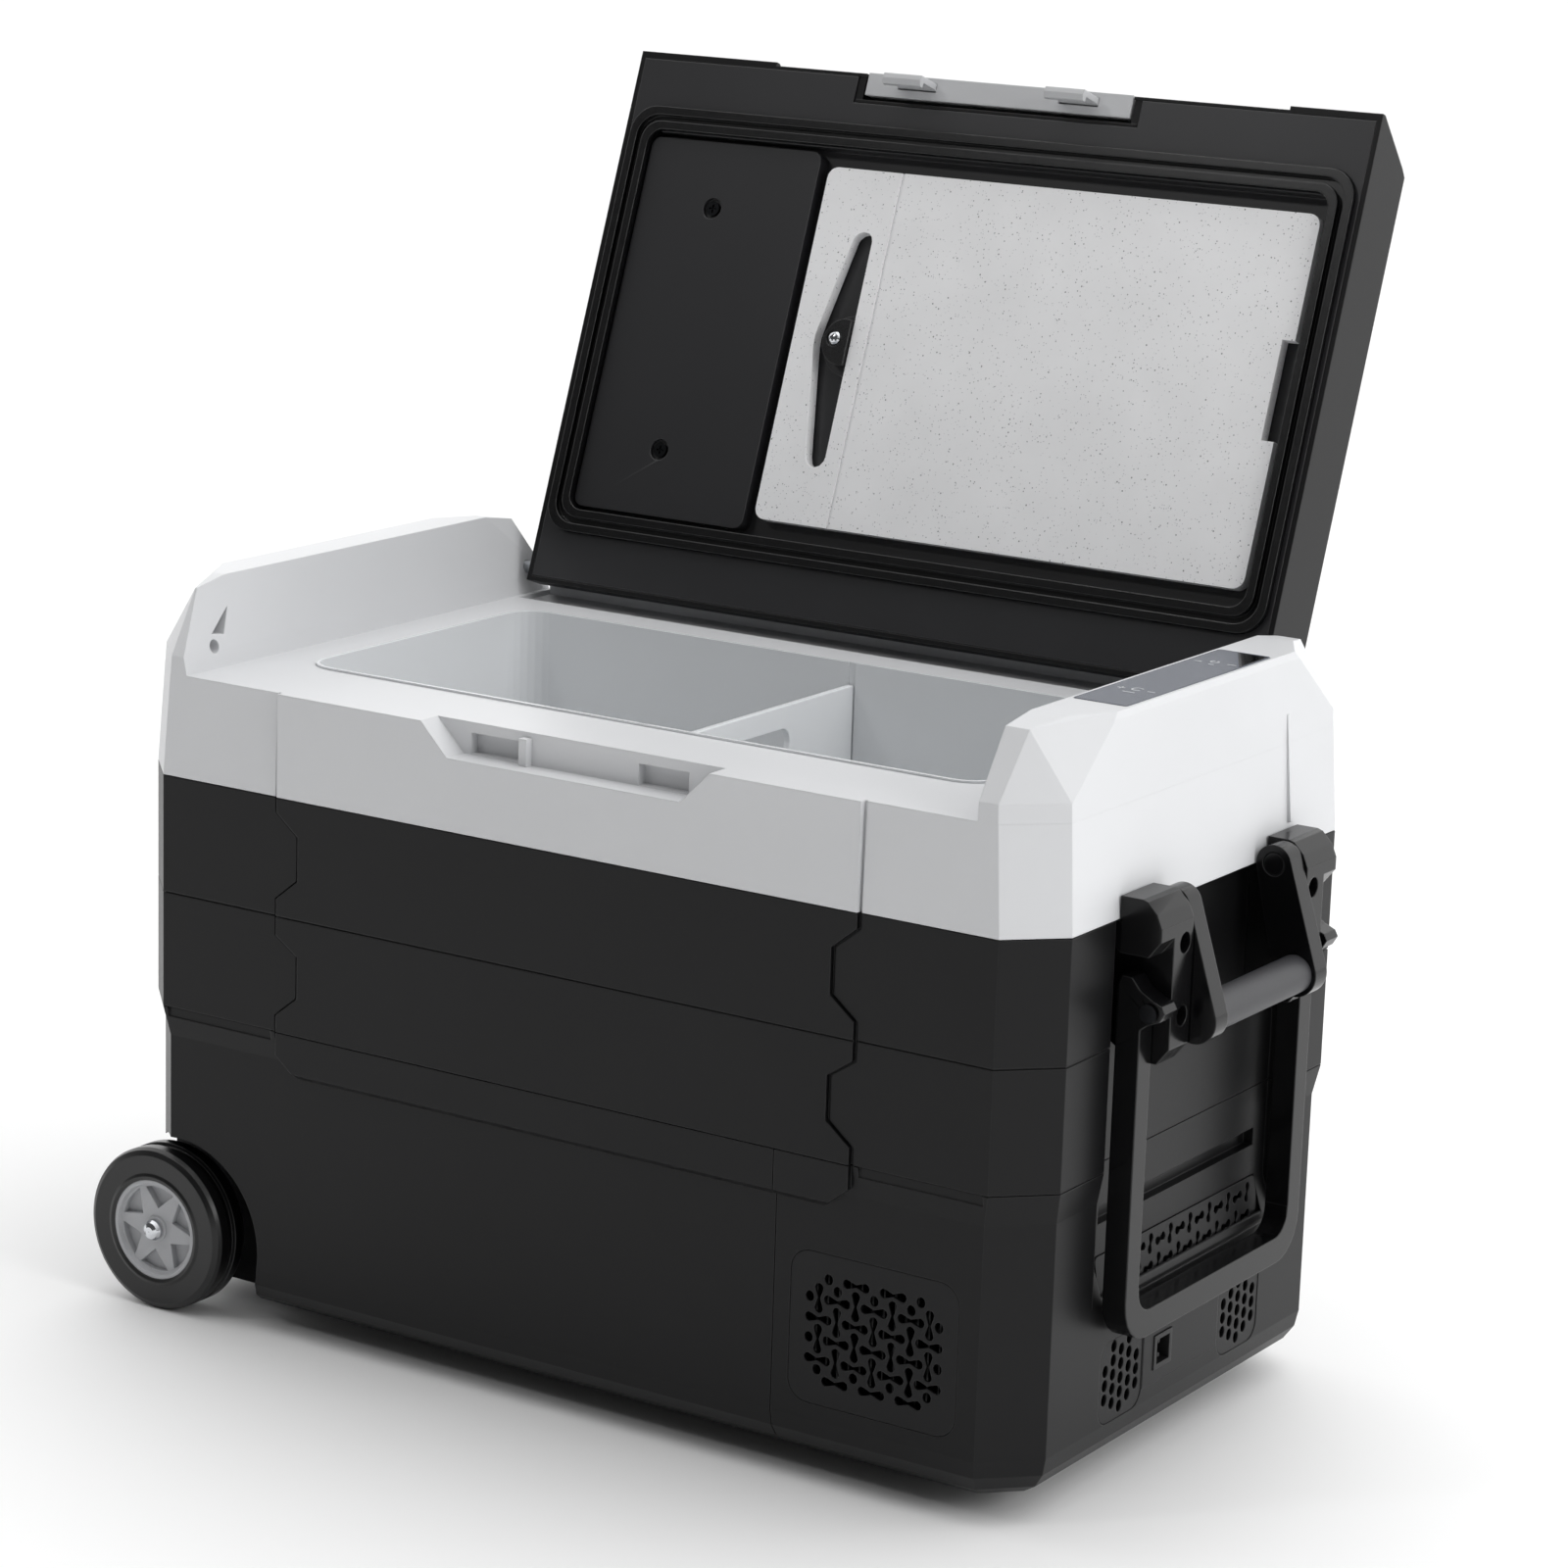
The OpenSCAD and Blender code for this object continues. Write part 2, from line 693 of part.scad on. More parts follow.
module recess_grille() color(dark) {
    n = floor((recess_half - 20) / 11);
    on_slope() cross_profile(-2.2, -0.6) difference() {
        polygon(rounded(-recess_half + 11.4, -13.6, recess_half - 11.4, 13.6, 3));
        for (i = [-n:n])
            for (j = [0:1]) translate([i * 11 + (j == 0 ? -2.5 : 2.5), j * 12 - 6])
                rotate((i + j) % 2 == 0 ? 65 : 10) polygon(dumbbell(11.5, 2.3, 0.9));
    }
}

module socket_plate() color(dark) {
    x = half_w - set_back;
    difference() {
        block([x - 1.4, -socket_w/2, socket_z - socket_h/2], [x + 0.2, socket_w/2, socket_z + socket_h/2]);
        block([x - 9, -31, socket_z - 8], [x + 9, -11, socket_z + 12]);
    }
}

module dc_socket() color("#101011") {
    x = half_w - set_back;
    difference() {
        block([x - 24, -30.6, socket_z - 7.6], [x + 0.8, -11.4, socket_z + 11.6]);
        block([x - 10, -28, socket_z - 5], [x + 5, -14, socket_z + 9]);
    }
    for (s = [-1, 1]) along_x(x - 12, x - 2, -21, socket_z + 2 + 4 * s, 1.3);
}

// ---- carry handle and pull handle --------------------------------------

module bracket_screw_places() {
    for (z = [split_z - 13, split_z - 52], s = [-1, 1])
        translate([recess_floor + 2, s * (bracket_in + 8), z]) children();
}

// Side view of a bracket, from its lower end up to the rounded top corner
function bracket_side(z0) = [
    [recess_floor, z0 + 8], [half_w + 2, z0], [bracket_x - 7, z0], [bracket_x, z0 + 9],
    [bracket_x, bracket_top - 14], [bracket_x - 3, bracket_top - 7], [bracket_x - 9, bracket_top - 1],
    [bracket_x - 12, bracket_top], [half_w + 0.4, bracket_top], [half_w + 0.4, split_z - 0.4],
    [recess_floor, split_z - 0.4]];

module handle_brackets() color("#222224") {
    difference() {
        both_sides() {
            side_profile(bracket_in, bracket_out) polygon(bracket_side(split_z - 77));
            side_profile(bracket_out - 0.5, pull_half) polygon(bracket_side(pull_z + pull_clear));
        }
        both_sides() {
            along_y(carry_x, bracket_in - 1, bracket_in + 8, carry_z, pin_r);
            along_y(pull_x, bracket_out - 6, bracket_out + 1, pull_z, pin_r);
        }
        bracket_screw_places() {
            along_x(-9, 60, 0, 0, 2.2);
            along_x(screw_seat, 60, 0, 0, 5.6);
        }
    }
}

module bracket_screws() color("#3c3d40") {
    bracket_screw_places() difference() {
        union() {
            along_x(-12, screw_seat + 0.3, 0, 0, 2);
            along_x(screw_seat + 0.2, screw_seat + 3.2, 0, 0, 4.2);
        }
        translate([screw_seat + 1.4, 0, 0]) rotate([0, 90, 0]) cylinder(r = key_r, h = 4, $fn = 6);
    }
}

module carry_arm(y0) {
    difference() {
        side_profile(y0, y0 + arm_t) hull() {
            translate([carry_x, carry_z]) circle(r = lobe_r);
            translate([grip_x, grip_z]) circle(r = grip_r + 2.5);
        }
        along_y(carry_x, y0 - 1, y0 + arm_t + 1, carry_z, pin_r + running);
        along_y(carry_x, y0 < 0 ? y0 + arm_t - 3 : y0 - 1, y0 < 0 ? y0 + arm_t + 1 : y0 + 3, carry_z, 6.5);
        along_y(grip_x, y0 < 0 ? y0 + 3 : y0 - 1, y0 < 0 ? y0 + arm_t + 1 : y0 + arm_t - 3,
            grip_z, pin_r);
    }
}

module carry_arm_front() color("#232325") { carry_arm(-arm_in - arm_t); }

module carry_arm_back() color("#232325") { carry_arm(arm_in); }

module carry_grip() color("#3a3a3d") {
    difference() {
        along_y(grip_x, -arm_in + 0.1, arm_in - 0.1, grip_z, grip_r);
        along_y(grip_x, -arm_in - 1, arm_in + 1, grip_z, pin_r);
    }
}

module carry_grip_rod() color("#b9bcc0") {
    along_y(grip_x, -arm_in - arm_t + 3, arm_in + arm_t - 3, grip_z, pin_r);
}

module carry_pivot_pins() color("#1a1a1b") {
    both_sides() {
        along_y(carry_x, arm_in + 1, bracket_in + 8, carry_z, pin_r);
        along_y(carry_x, arm_in + 0.4, arm_in + 2.8, carry_z, 6);
    }
}

module pull_side() {
    y0 = pull_half - rail;
    difference() {
        side_profile(y0 + 0.4, pull_half) polygon([
            [rail_x, pull_low + pull_bend], [rail_x, pull_z + 13], [rail_x + 2.5, pull_z + 17.5],
            [rail_x + 8, pull_z + 17], [rail_x + 13, pull_z + 11], [rail_x + 20, pull_z + 7],
            [pull_x + 7, pull_z + 4.5], [pull_x + 9, pull_z + 1], [pull_x + 6, pull_z - 4],
            [pull_x - 1, pull_z - 7], [rail_x + rail, pull_z - 10], [rail_x + rail, pull_low + pull_bend]]);
        along_y(pull_x, y0 - 1, pull_half + 1, pull_z, pin_r + running);
    }
}

module pull_handle() color("#5c5c5f") {
    both_sides() pull_side();
    cross_profile(rail_x, rail_x + rail) difference() {
        polygon(rounded(-pull_half, pull_low, pull_half, pull_low + 60, pull_bend));
        polygon(rounded(-pull_half + rail, pull_low + rail + 1, pull_half - rail, pull_low + 90,
            pull_bend - 11));
        translate([-200, pull_low + 30]) square([400, 90]);
    }
}

module pull_pivot_pins() color("#b9bcc0") {
    both_sides() {
        along_y(pull_x, bracket_out - 6, pull_half + 0.4, pull_z, pin_r);
        along_y(pull_x, pull_half + 0.3, pull_half + 1.8, pull_z, pin_r + 2);
    }
}

// ---- wheels ------------------------------------------------------------

// Turns a profile about the wheel axis. The profile's Y runs inwards from the face.
module on_wheel() {
    translate([wheel_x, -wheel_face, wheel_r]) rotate([-90, 0, 0]) children();
}

module tyre() {
    on_wheel() rotate_extrude($fn = 96) polygon([
        [hub_r, 1], [hub_r + 2, 0.4], [hub_r + 4, 1.2], [wheel_r - 4, 0.8], [wheel_r - 1.2, 2.4],
        [wheel_r, 5], [wheel_r, tyre_w/2 - 3], [wheel_r - 2.2, tyre_w/2 - 2.4],
        [wheel_r - 2.2, tyre_w/2 + 2.4], [wheel_r, tyre_w/2 + 3], [wheel_r, tyre_w - 5],
        [wheel_r - 1.2, tyre_w - 2.4], [wheel_r - 4, tyre_w - 0.8], [hub_r + 2, tyre_w - 0.4],
        [hub_r, tyre_w - 1]]);
}

module hub() {
    difference() {
        on_wheel() {
            difference() {
                translate([0, 0, 1.4]) cylinder(r = hub_r, h = tyre_w - 2.8);
                translate([0, 0, -1]) cylinder(r1 = hub_r - 1.5, r2 = rim_in, h = 5);
                translate([0, 0, tyre_w - 4]) cylinder(r = hub_r - 3, h = 5);
                for (k = [0:5]) rotate([0, 0, 60 * k + 35]) translate([0, 0, -1])
                    linear_extrude(9) polygon(concat([[12.5, 0]],
                        [for (a = [-24:8:24]) (rim_in - 0.8) * [cos(a), sin(a)]]));
            }
            translate([0, 0, 2.2]) cylinder(r1 = 7.5, r2 = 8.5, h = tyre_w - 3);
        }
        on_wheel() translate([0, 0, -9]) cylinder(r = axle_r + running, h = tyre_w + 20);
    }
}

module wheel_tyre_front() color("#18181a") { tyre(); }

module wheel_hub_front() color("#8f9193") { hub(); }

module wheel_tyre_back() color("#18181a") { mirror([0, 1, 0]) tyre(); }

module wheel_hub_back() color("#8f9193") { mirror([0, 1, 0]) hub(); }

module axle() color("#b9bcc0") {
    along_y(wheel_x, -wheel_face + 1, wheel_face - 1, wheel_r, axle_r);
}

module axle_caps() color("#d9dbde") {
    both_sides() translate([wheel_x, -wheel_face, wheel_r]) rotate([-90, 0, 0]) difference() {
        rotate_extrude() polygon([[0, -3.2], [2.5, -3], [4.8, -1.9], [6, 0], [6, 1.8], [0, 1.8]]);
        translate([0, 0, 1]) cylinder(r = axle_r, h = 3);
    }
}

// ---- lid ---------------------------------------------------------------

lid_profile = [
    [lid_front, under_z], [lid_front, under_z + 3], [lid_front + 21, lid_top - 5],
    [lid_front + 25, lid_top], [hinge_y - 14, lid_top], [hinge_y + 4, lid_top - 14],
    [lid_back, hinge_z + 4], [lid_back, under_z]];

lid_core = [
    [lid_front + shell_t + 1, under_z - 1], [lid_front + shell_t + 1, under_z + 4],
    [lid_front + 21 + shell_t, lid_top - 6], [lid_front + 25 + shell_t, lid_top - shell_t],
    [hinge_y - 16, lid_top - shell_t], [hinge_y + 1, lid_top - 16],
    [lid_back - shell_t, hinge_z + 3], [lid_back - shell_t, under_z - 1]];

module lid_shell() color(dark) on_lid() {
    difference() {
        union() {
            difference() {
                cross_profile(-lid_half, lid_half) polygon(lid_profile);
                cross_profile(-lid_half + shell_t, lid_half - shell_t) polygon(lid_core);
            }
            // blocks that carry the hinge pins
            for (s = [-1, 1]) translate([s * (lid_half - 8), 0, 0])
                block([-7, hinge_y - 9, under_z + 4], [7, lid_back - 1, hinge_z + 8]);
            // ribs that carry the latch pin
            for (s = [-1, 1]) translate([latch_x + s * (latch_w/2 + 4), 0, 0])
                block([-2.5, lid_front + 4, under_z + 1], [2.5, lid_front + 20, latch_z + 6]);
            block([latch_x - latch_w/2 - 6, lid_front + 18, under_z + 0.5],
                [latch_x + latch_w/2 + 6, lid_front + 20, lid_top - 4]);
            block([latch_x - latch_w/2 - 6, lid_front + 10, latch_z + 6.5],
                [latch_x + latch_w/2 + 6, lid_front + 19, latch_z + 8.5]);
        }
        // opening for the latch
        block([latch_x - latch_w/2 - 1, lid_front - 9, under_z - 9],
            [latch_x + latch_w/2 + 1, lid_front + 18, latch_z + 6]);
        // shallow step along the front edge
        block([-half_w + 147, lid_front - 9, under_z - 9], [half_w - 106, lid_front + 2.2, lid_top]);
        along_x(latch_x - latch_w/2 - 6, latch_x + latch_w/2 + 6, latch_y, latch_z, 1.5);
        for (s = [-1, 1]) along_x(s * lid_half - 15, s * lid_half + 15, hinge_y, hinge_z,
            hinge_r + running);
    }
}

module gasket_ring(g0, g1, z0, z1) {
    translate([0, gasket_mid, z0]) linear_extrude(z1 - z0) difference() {
        polygon(rounded(-gasket_half + g0, -gasket_len/2 + g0, gasket_half - g0, gasket_len/2 - g0, 17 - g0/2));
        polygon(rounded(-gasket_half + g1, -gasket_len/2 + g1, gasket_half - g1, gasket_len/2 - g1, 17 - g1/2));
    }
}

module lid_liner() color("#2b2b2d") on_lid() {
    x = lid_half - shell_t - 0.3;
    y0 = lid_front + 20.3;
    y1 = hinge_y - 9.5;
    difference() {
        union() {
            block([-x, y0, under_z], [x, y1, under_z + 3]);
            block([-x, y1 - 1, under_z], [x, lid_back - shell_t - 0.3, under_z + 3]);
            block([-gasket_half - 0.5, gasket_y0 - 2, under_z], [gasket_half + 0.5, gasket_y1 + 2, pocket_z + 2]);
            // front strips beside the latch
            block([-x, lid_front + shell_t + 1.3, under_z], [latch_x - latch_w/2 - 6.8, y0 + 1, under_z + 3]);
            block([latch_x + latch_w/2 + 6.8, lid_front + shell_t + 1.3, under_z], [x, y0 + 1, under_z + 3]);
        }
        gasket_ring(-0.1, gasket_w + 0.1, under_z - 1, under_z + 4);
        translate([0, 0, under_z - 1]) linear_extrude(pocket_z - under_z + 1)
            polygon(rounded(pocket_x0, pocket_y0, pocket_x1, pocket_y1, 8));
        translate([knob_x, knob_y, pocket_z - 1]) cylinder(r = 2.1, h = 5);
    }
    // low boss round the turn button, inside the slot of the board
    difference() {
        translate([0, 0, pocket_z - 4]) linear_extrude(4 + eps)
            polygon(cam_outline(8, 2.8, 18.6, slot_edge - 0.4));
        translate([knob_x, knob_y, pocket_z - 9]) cylinder(r = hub_boss_r + 0.3, h = 20);
    }
}

// A disc cut straight on its +X side, placed from the turn button's screw
function cam_outline(cx, cy, r, cut) =
    let (a0 = acos((cut - cx) / r))
    [for (k = [0:24]) let (a = a0 + (360 - 2 * a0) * k / 24)
        [knob_x + cx + r * cos(a), knob_y + cy + r * sin(a)]];

module lid_gasket() color("#141415") on_lid() {
    difference() {
        gasket_ring(0, gasket_w, ledge_z + 0.4, under_z + 3.9);
        gasket_ring(gasket_w/2 - 2, gasket_w/2 + 2, ledge_z - 1, under_z + 0.5);
    }
}

module lid_foam() color("#e8d9a8") on_lid() {
    difference() {
        cross_profile(-lid_half + shell_t + 0.3, lid_half - shell_t - 0.3) polygon([
            [lid_front + 24, pocket_z + 2.4], [lid_front + 28 + shell_t, lid_top - shell_t - 0.4],
            [hinge_y - 22, lid_top - shell_t - 0.4], [hinge_y - 10, lid_top - 22],
            [hinge_y - 10, pocket_z + 2.4]]);
        translate([knob_x, knob_y, pocket_z + 1]) cylinder(r = 3, h = 9);
    }
}

module side_panel_places() {
    for (y = [-0.32, 0.32])
        translate([(pocket_x0 + board_x0) / 2 - 10, board_y + y * gasket_len * 0.88, board_z]) children();
}

module lid_side_panel() color("#2f2f31") on_lid() {
    x1 = board_x0 - 7;
    difference() {
        translate([0, 0, board_z]) linear_extrude(pocket_z - board_z - 0.2)
            polygon(rounded(pocket_x0 + 3, pocket_y0 + 3, x1, pocket_y1 - 3, 6));
        block([pocket_x0 + 6, pocket_y0 + 6, board_z + 5], [x1 - 3, pocket_y1 - 6, pocket_z + 1]);
        side_panel_places() {
            translate([0, 0, -1]) cylinder(r = 6.5, h = 4);
            cylinder(r = 2.1, h = 20);
        }
    }
}

// Cross recess of a screw head, from z0 to z1
module cross_recess(reach, z0, z1) {
    for (a = [0, 90]) rotate([0, 0, a]) block([-reach, -cross_w / 2, z0], [reach, cross_w / 2, z1]);
}

module side_panel_screws() color("#1a1a1b") on_lid() {
    side_panel_places() {
        difference() {
            translate([0, 0, 0.8]) cylinder(r = 4.4, h = 2);
            cross_recess(2.6, 0, 1.9);
        }
        translate([0, 0, 2]) cylinder(r = 2, h = pocket_z - board_z - 2.2);
    }
}

// Slot of the cutting board, from the screw of the turn button
slot_outline = [
    [-4, 71], [-2.4, 75.4], [0.6, 77.6], [3.6, 78], [7, 76.6], [slot_edge - 0.6, 73.6],
    [slot_edge, 70.6], [slot_edge, -60], [slot_edge - 1, -63], [6.5, -65], [3.2, -65.4], [0, -64.4],
    [-2.6, -62], [-3.6, -60], [-14.4, -6], [-15.2, 0], [-15, 5]];

module cutting_board() color("#dcdddf") on_lid() {
    y0 = board_y - board_d / 2;
    y1 = board_y + board_d / 2;
    notch = board_y - 6;
    line_x = knob_x + slot_edge + 10.8;
    difference() {
        translate([0, 0, board_z]) linear_extrude(board_t)
            polygon(rounded(board_x0, y0, board_x1, y1, 7));
        translate([knob_x, knob_y, board_z - 1]) linear_extrude(board_t + 2)
            polygon(slot_outline);
        block([board_x1 - 8, notch - 29, board_z - 1], [board_x1 + 5, notch + 29, board_z + 20]);
        block([line_x, y0 - 1, board_z - 1], [line_x + 1.8, y1 + 1, board_z + 1]);
    }
}

// Turn button: a cam flush with the edge of the slot, which laps over the board when turned
module board_knob() color("#161617") on_lid() {
    difference() {
        union() {
            translate([knob_x, knob_y, cam_top - 1]) cylinder(r = hub_boss_r, h = pocket_z - cam_top + 0.6);
            translate([0, 0, cam_top - cam_t]) linear_extrude(cam_t)
                polygon(cam_outline(6.6, 2, 14.2, slot_edge - 0.6));
        }
        translate([knob_x, knob_y, under_z - 5]) cylinder(r = 2 + running, h = 30);
        translate([knob_x, knob_y, cam_top - 5]) cylinder(r = 5, h = 3.6);
    }
}

module knob_screw() color("#d9dbde") on_lid() {
    translate([knob_x, knob_y, cam_top - 1.5]) {
        difference() {
            mirror([0, 0, 1]) rotate_extrude()
                polygon([[0, 0], [4.2, 0], [4, 1], [3, 2], [1.6, 2.6], [0, 2.8]]);
            cross_recess(2.2, -3, -1.4);
        }
        cylinder(r = 2, h = pocket_z - cam_top + 5);
    }
}

module latch_lever() color("#c9cbcd") on_lid() {
    w = latch_w / 2;
    difference() {
        cross_profile(latch_x - w, latch_x + w) polygon([
            [lid_front + 1.4, under_z + 0.3], [lid_front + 1.4, under_z + 5], [lid_front + 10, latch_z + 3],
            [lid_front + 12, latch_z + 4], [lid_front + 14.5, latch_z + 2], [lid_front + 15, under_z + 0.3]]);
        along_x(latch_x - w - 1, latch_x + w + 1, latch_y, latch_z, 1.5 + running);
        for (s = [-1, 1]) translate([latch_x + s * hook_x, 0, 0])
            block([-hook_w/2 - 0.1, lid_front + 4.9, under_z - 1], [hook_w/2 + 0.1, lid_front + 10.1, under_z + 7.1]);
    }
}

module latch_hooks() color("#c9cbcd") on_lid() {
    y = lid_front + 5;
    for (s = [-1, 1]) translate([latch_x + s * hook_x, 0, 0])
        cross_profile(-hook_w/2, hook_w/2) polygon([
            [y, under_z + 7], [y, under_z - 18], [y + 3, under_z - 19], [y + 6.5, under_z - 18],
            [y + 6.8, under_z - 15], [y + 3.6, under_z - 14.2], [y + 3.6, under_z - 1], [y + 5, under_z + 7]]);
}

module latch_pin() color("#b9bcc0") on_lid() {
    along_x(latch_x - latch_w/2 - 5.5, latch_x + latch_w/2 + 5.5, latch_y, latch_z, 1.5);
}

module hinge_pins() color("#b9bcc0") {
    for (s = [-1, 1]) along_x(s > 0 ? lid_half - 12 : -wall_foot - 19,
        s > 0 ? wall_foot + 19 : -lid_half + 12, hinge_y, hinge_z, hinge_r);
}

// ---- cooling unit ------------------------------------------------------

unit_x = bay_x + 68;
can_r = 48;
can_y = 62;
can_z = base_z + 18;
fan_y = -half_d + 54;
pipe_x = bay_x + 10;
pipe_y = can_y + 34;
riser_gap = 25;

module grommet_places() {
    for (sx = [-1, 1], sy = [-1, 1]) translate([unit_x + sx * 44, can_y + sy * 44, base_z + 6]) children();
}

module compressor() color("#1d1e20") {
    translate([unit_x, can_y, can_z]) rotate_extrude() polygon([
        [0, 0], [can_r - 8, 0], [can_r, 8], [can_r, 44], [can_r + 2.5, 45], [can_r + 2.5, 49],
        [can_r, 50], [can_r - 1, 84], [can_r - 12, 98], [can_r - 28, 104], [0, 105]]);
    difference() {
        block([unit_x - 54, can_y - 54, can_z - 6], [unit_x + 54, can_y + 54, can_z - 3]);
        grommet_places() translate([0, 0, -5]) cylinder(r = 4.2, h = 30);
    }
    translate([unit_x, can_y, can_z - 3]) cylinder(r = 30, h = 4);
}

module compressor_grommets() color("#161617") {
    grommet_places() difference() {
        union() {
            cylinder(r = 8, h = can_z - base_z - 12.2);
            cylinder(r = 4, h = can_z - base_z - 8);
            translate([0, 0, can_z - base_z - 8.8]) cylinder(r = 6.5, h = 3);
        }
        translate([0, 0, -1]) cylinder(r = 2, h = 30);
    }
}

module condenser() color("#b7bcc1") {
    z0 = base_z + 20;
    for (k = [0:13]) block([grille_x - 46 + 6.9 * k, -half_d + 9, z0], [grille_x - 45 + 6.9 * k, -half_d + 33, z0 + 112]);
    for (j = [0:5]) along_x(grille_x - 50, grille_x + 50, -half_d + 21, z0 + 9 + 19 * j, 3.4);
    for (s = [-1, 1]) block([grille_x + s * 50 - 1, -half_d + 9, z0], [grille_x + s * 50 + 1, -half_d + 33, z0 + 112]);
}

module fan_frame() color("#202123") {
    difference() {
        block([grille_x - 46, fan_y - 12, grille_z - 46], [grille_x + 46, fan_y + 12, grille_z + 46]);
        along_y(grille_x, fan_y - 20, fan_y + 9, grille_z, 43);
        for (k = [0:3]) rotate_y_at(grille_x, grille_z, 90 * k + 45)
            block([18, fan_y + 5, -16], [42, fan_y + 20, 16]);
        along_y(grille_x, fan_y + 3, fan_y + 20, grille_z, 3 + running);
    }
    difference() {
        along_y(grille_x, fan_y + 4, fan_y + 12, grille_z, 16);
        along_y(grille_x, fan_y + 3, fan_y + 20, grille_z, 3 + running);
    }
}

module rotate_y_at(x, z, a) {
    translate([x, 0, z]) rotate([0, a, 0]) children();
}

module fan_rotor() color("#2b2c2e") {
    along_y(grille_x, fan_y - 11, fan_y + 3, grille_z, 17);
    along_y(grille_x, fan_y + 3, fan_y + 10, grille_z, 3);
    for (k = [0:6]) rotate_y_at(grille_x, grille_z, 360 * k / 7)
        translate([15, fan_y - 4, 0]) rotate([32, 0, 0]) block([0, -1, -12], [26, 1, 12]);
}

module filter_drier() color("#b87333") {
    translate([pipe_x, pipe_y, base_z + 60]) {
        cylinder(r = 8, h = 60);
        translate([0, 0, 60]) cylinder(r1 = 8, r2 = 3.5, h = 8);
        translate([0, 0, -8]) cylinder(r1 = 3.5, r2 = 8, h = 8);
    }
}

// Tubes that leave the compressor, pass the drier and rise into the foam
module refrigerant_path(grow) {
    top = lower_top - 8;
    bend_y = tub_y + riser_gap;
    r = 3 + grow;
    translate([pipe_x, pipe_y, base_z + 128]) cylinder(r = r, h = top - base_z - 128);
    translate([pipe_x, pipe_y, top]) sphere(r = r);
    along_y(pipe_x, pipe_y, bend_y, top, r);
    translate([pipe_x, bend_y, top]) sphere(r = r);
    translate([pipe_x, bend_y, top]) cylinder(r = r, h = 44);
}

module refrigerant_pipes() color("#b87333") {
    refrigerant_path(0);
    translate([pipe_x, pipe_y, base_z + 36]) cylinder(r = 3, h = 16);
    translate([pipe_x, pipe_y, base_z + 36]) sphere(r = 3);
    along_y(pipe_x, -half_d + 42, pipe_y, base_z + 36, 3);
}

module control_board() color("#2c5a3a") {
    x = recess_floor - 26;
    y = can_y;
    block([x, -30, base_z + 70], [x + 2, 5, base_z + 160]);
    block([x - 8, -24, base_z + 80], [x, -8, base_z + 96]);
    block([x - 12, -26, base_z + 120], [x, 0, base_z + 146]);
    along_x(x - 10, x, -16, base_z + 108, 5);
}

base_shell();
upper_shell();
compressor_cover();
top_frame();
tub_liner();
foam_insulation();
bay_bulkhead();
base_plate();
divider();
control_panel();
display_board();
front_grille();
end_grilles();
recess_grille();
socket_plate();
dc_socket();
handle_brackets();
bracket_screws();
carry_arm_front();
carry_arm_back();
carry_grip();
carry_grip_rod();
carry_pivot_pins();
pull_handle();
pull_pivot_pins();
wheel_tyre_front();
wheel_hub_front();
wheel_tyre_back();
wheel_hub_back();
axle();
axle_caps();
rubber_feet();
foot_screws();
lid_shell();
lid_liner();
lid_foam();
lid_gasket();
lid_side_panel();
side_panel_screws();
cutting_board();
board_knob();
knob_screw();
latch_lever();
latch_hooks();
latch_pin();
hinge_pins();
compressor();
compressor_grommets();
condenser();
fan_frame();
fan_rotor();
filter_drier();
refrigerant_pipes();
evaporator();
control_board();
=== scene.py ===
"""Looks of a wheeled compressor cooler: moulded shells, lid, handles, wheels and a studio to show them in."""
import math

import bmesh
import bpy
from mathutils import Matrix, Vector


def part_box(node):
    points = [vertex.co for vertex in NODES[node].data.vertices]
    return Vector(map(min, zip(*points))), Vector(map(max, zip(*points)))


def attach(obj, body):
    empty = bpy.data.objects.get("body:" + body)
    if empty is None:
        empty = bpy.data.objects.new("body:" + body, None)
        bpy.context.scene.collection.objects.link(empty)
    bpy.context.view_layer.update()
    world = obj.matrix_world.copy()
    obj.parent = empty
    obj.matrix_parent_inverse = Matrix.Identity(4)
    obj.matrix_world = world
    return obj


bl_info = {
    "name": "Compressor Cooler",
    "version": (1, 0, 0),
    "blender": (4, 5, 0),
    "location": "View3D > Sidebar > Cooler",
    "description": "Finishes, panel print and studio for a wheeled compressor cooler",
    "category": "Object",
}

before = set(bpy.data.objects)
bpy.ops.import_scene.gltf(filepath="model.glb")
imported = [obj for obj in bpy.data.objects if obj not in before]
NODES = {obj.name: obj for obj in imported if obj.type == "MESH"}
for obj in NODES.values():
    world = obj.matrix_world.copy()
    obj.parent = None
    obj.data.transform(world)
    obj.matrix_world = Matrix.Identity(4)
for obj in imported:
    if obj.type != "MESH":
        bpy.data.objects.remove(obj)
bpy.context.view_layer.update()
MM = 0.001

# Sizes of the patterns that the finishes share, in metres
FLOW = 90 * MM
METAL_GRAIN = 0.8 * MM
BOARD_DRIFT = 40 * MM
BOARD_CUTS = 1.5 * MM
EDGE_RADIUS = 1.0 * MM
PRINT_THICK = 0.12 * MM
FLOOR_HALF = 12.0


# ---- values ------------------------------------------------------------

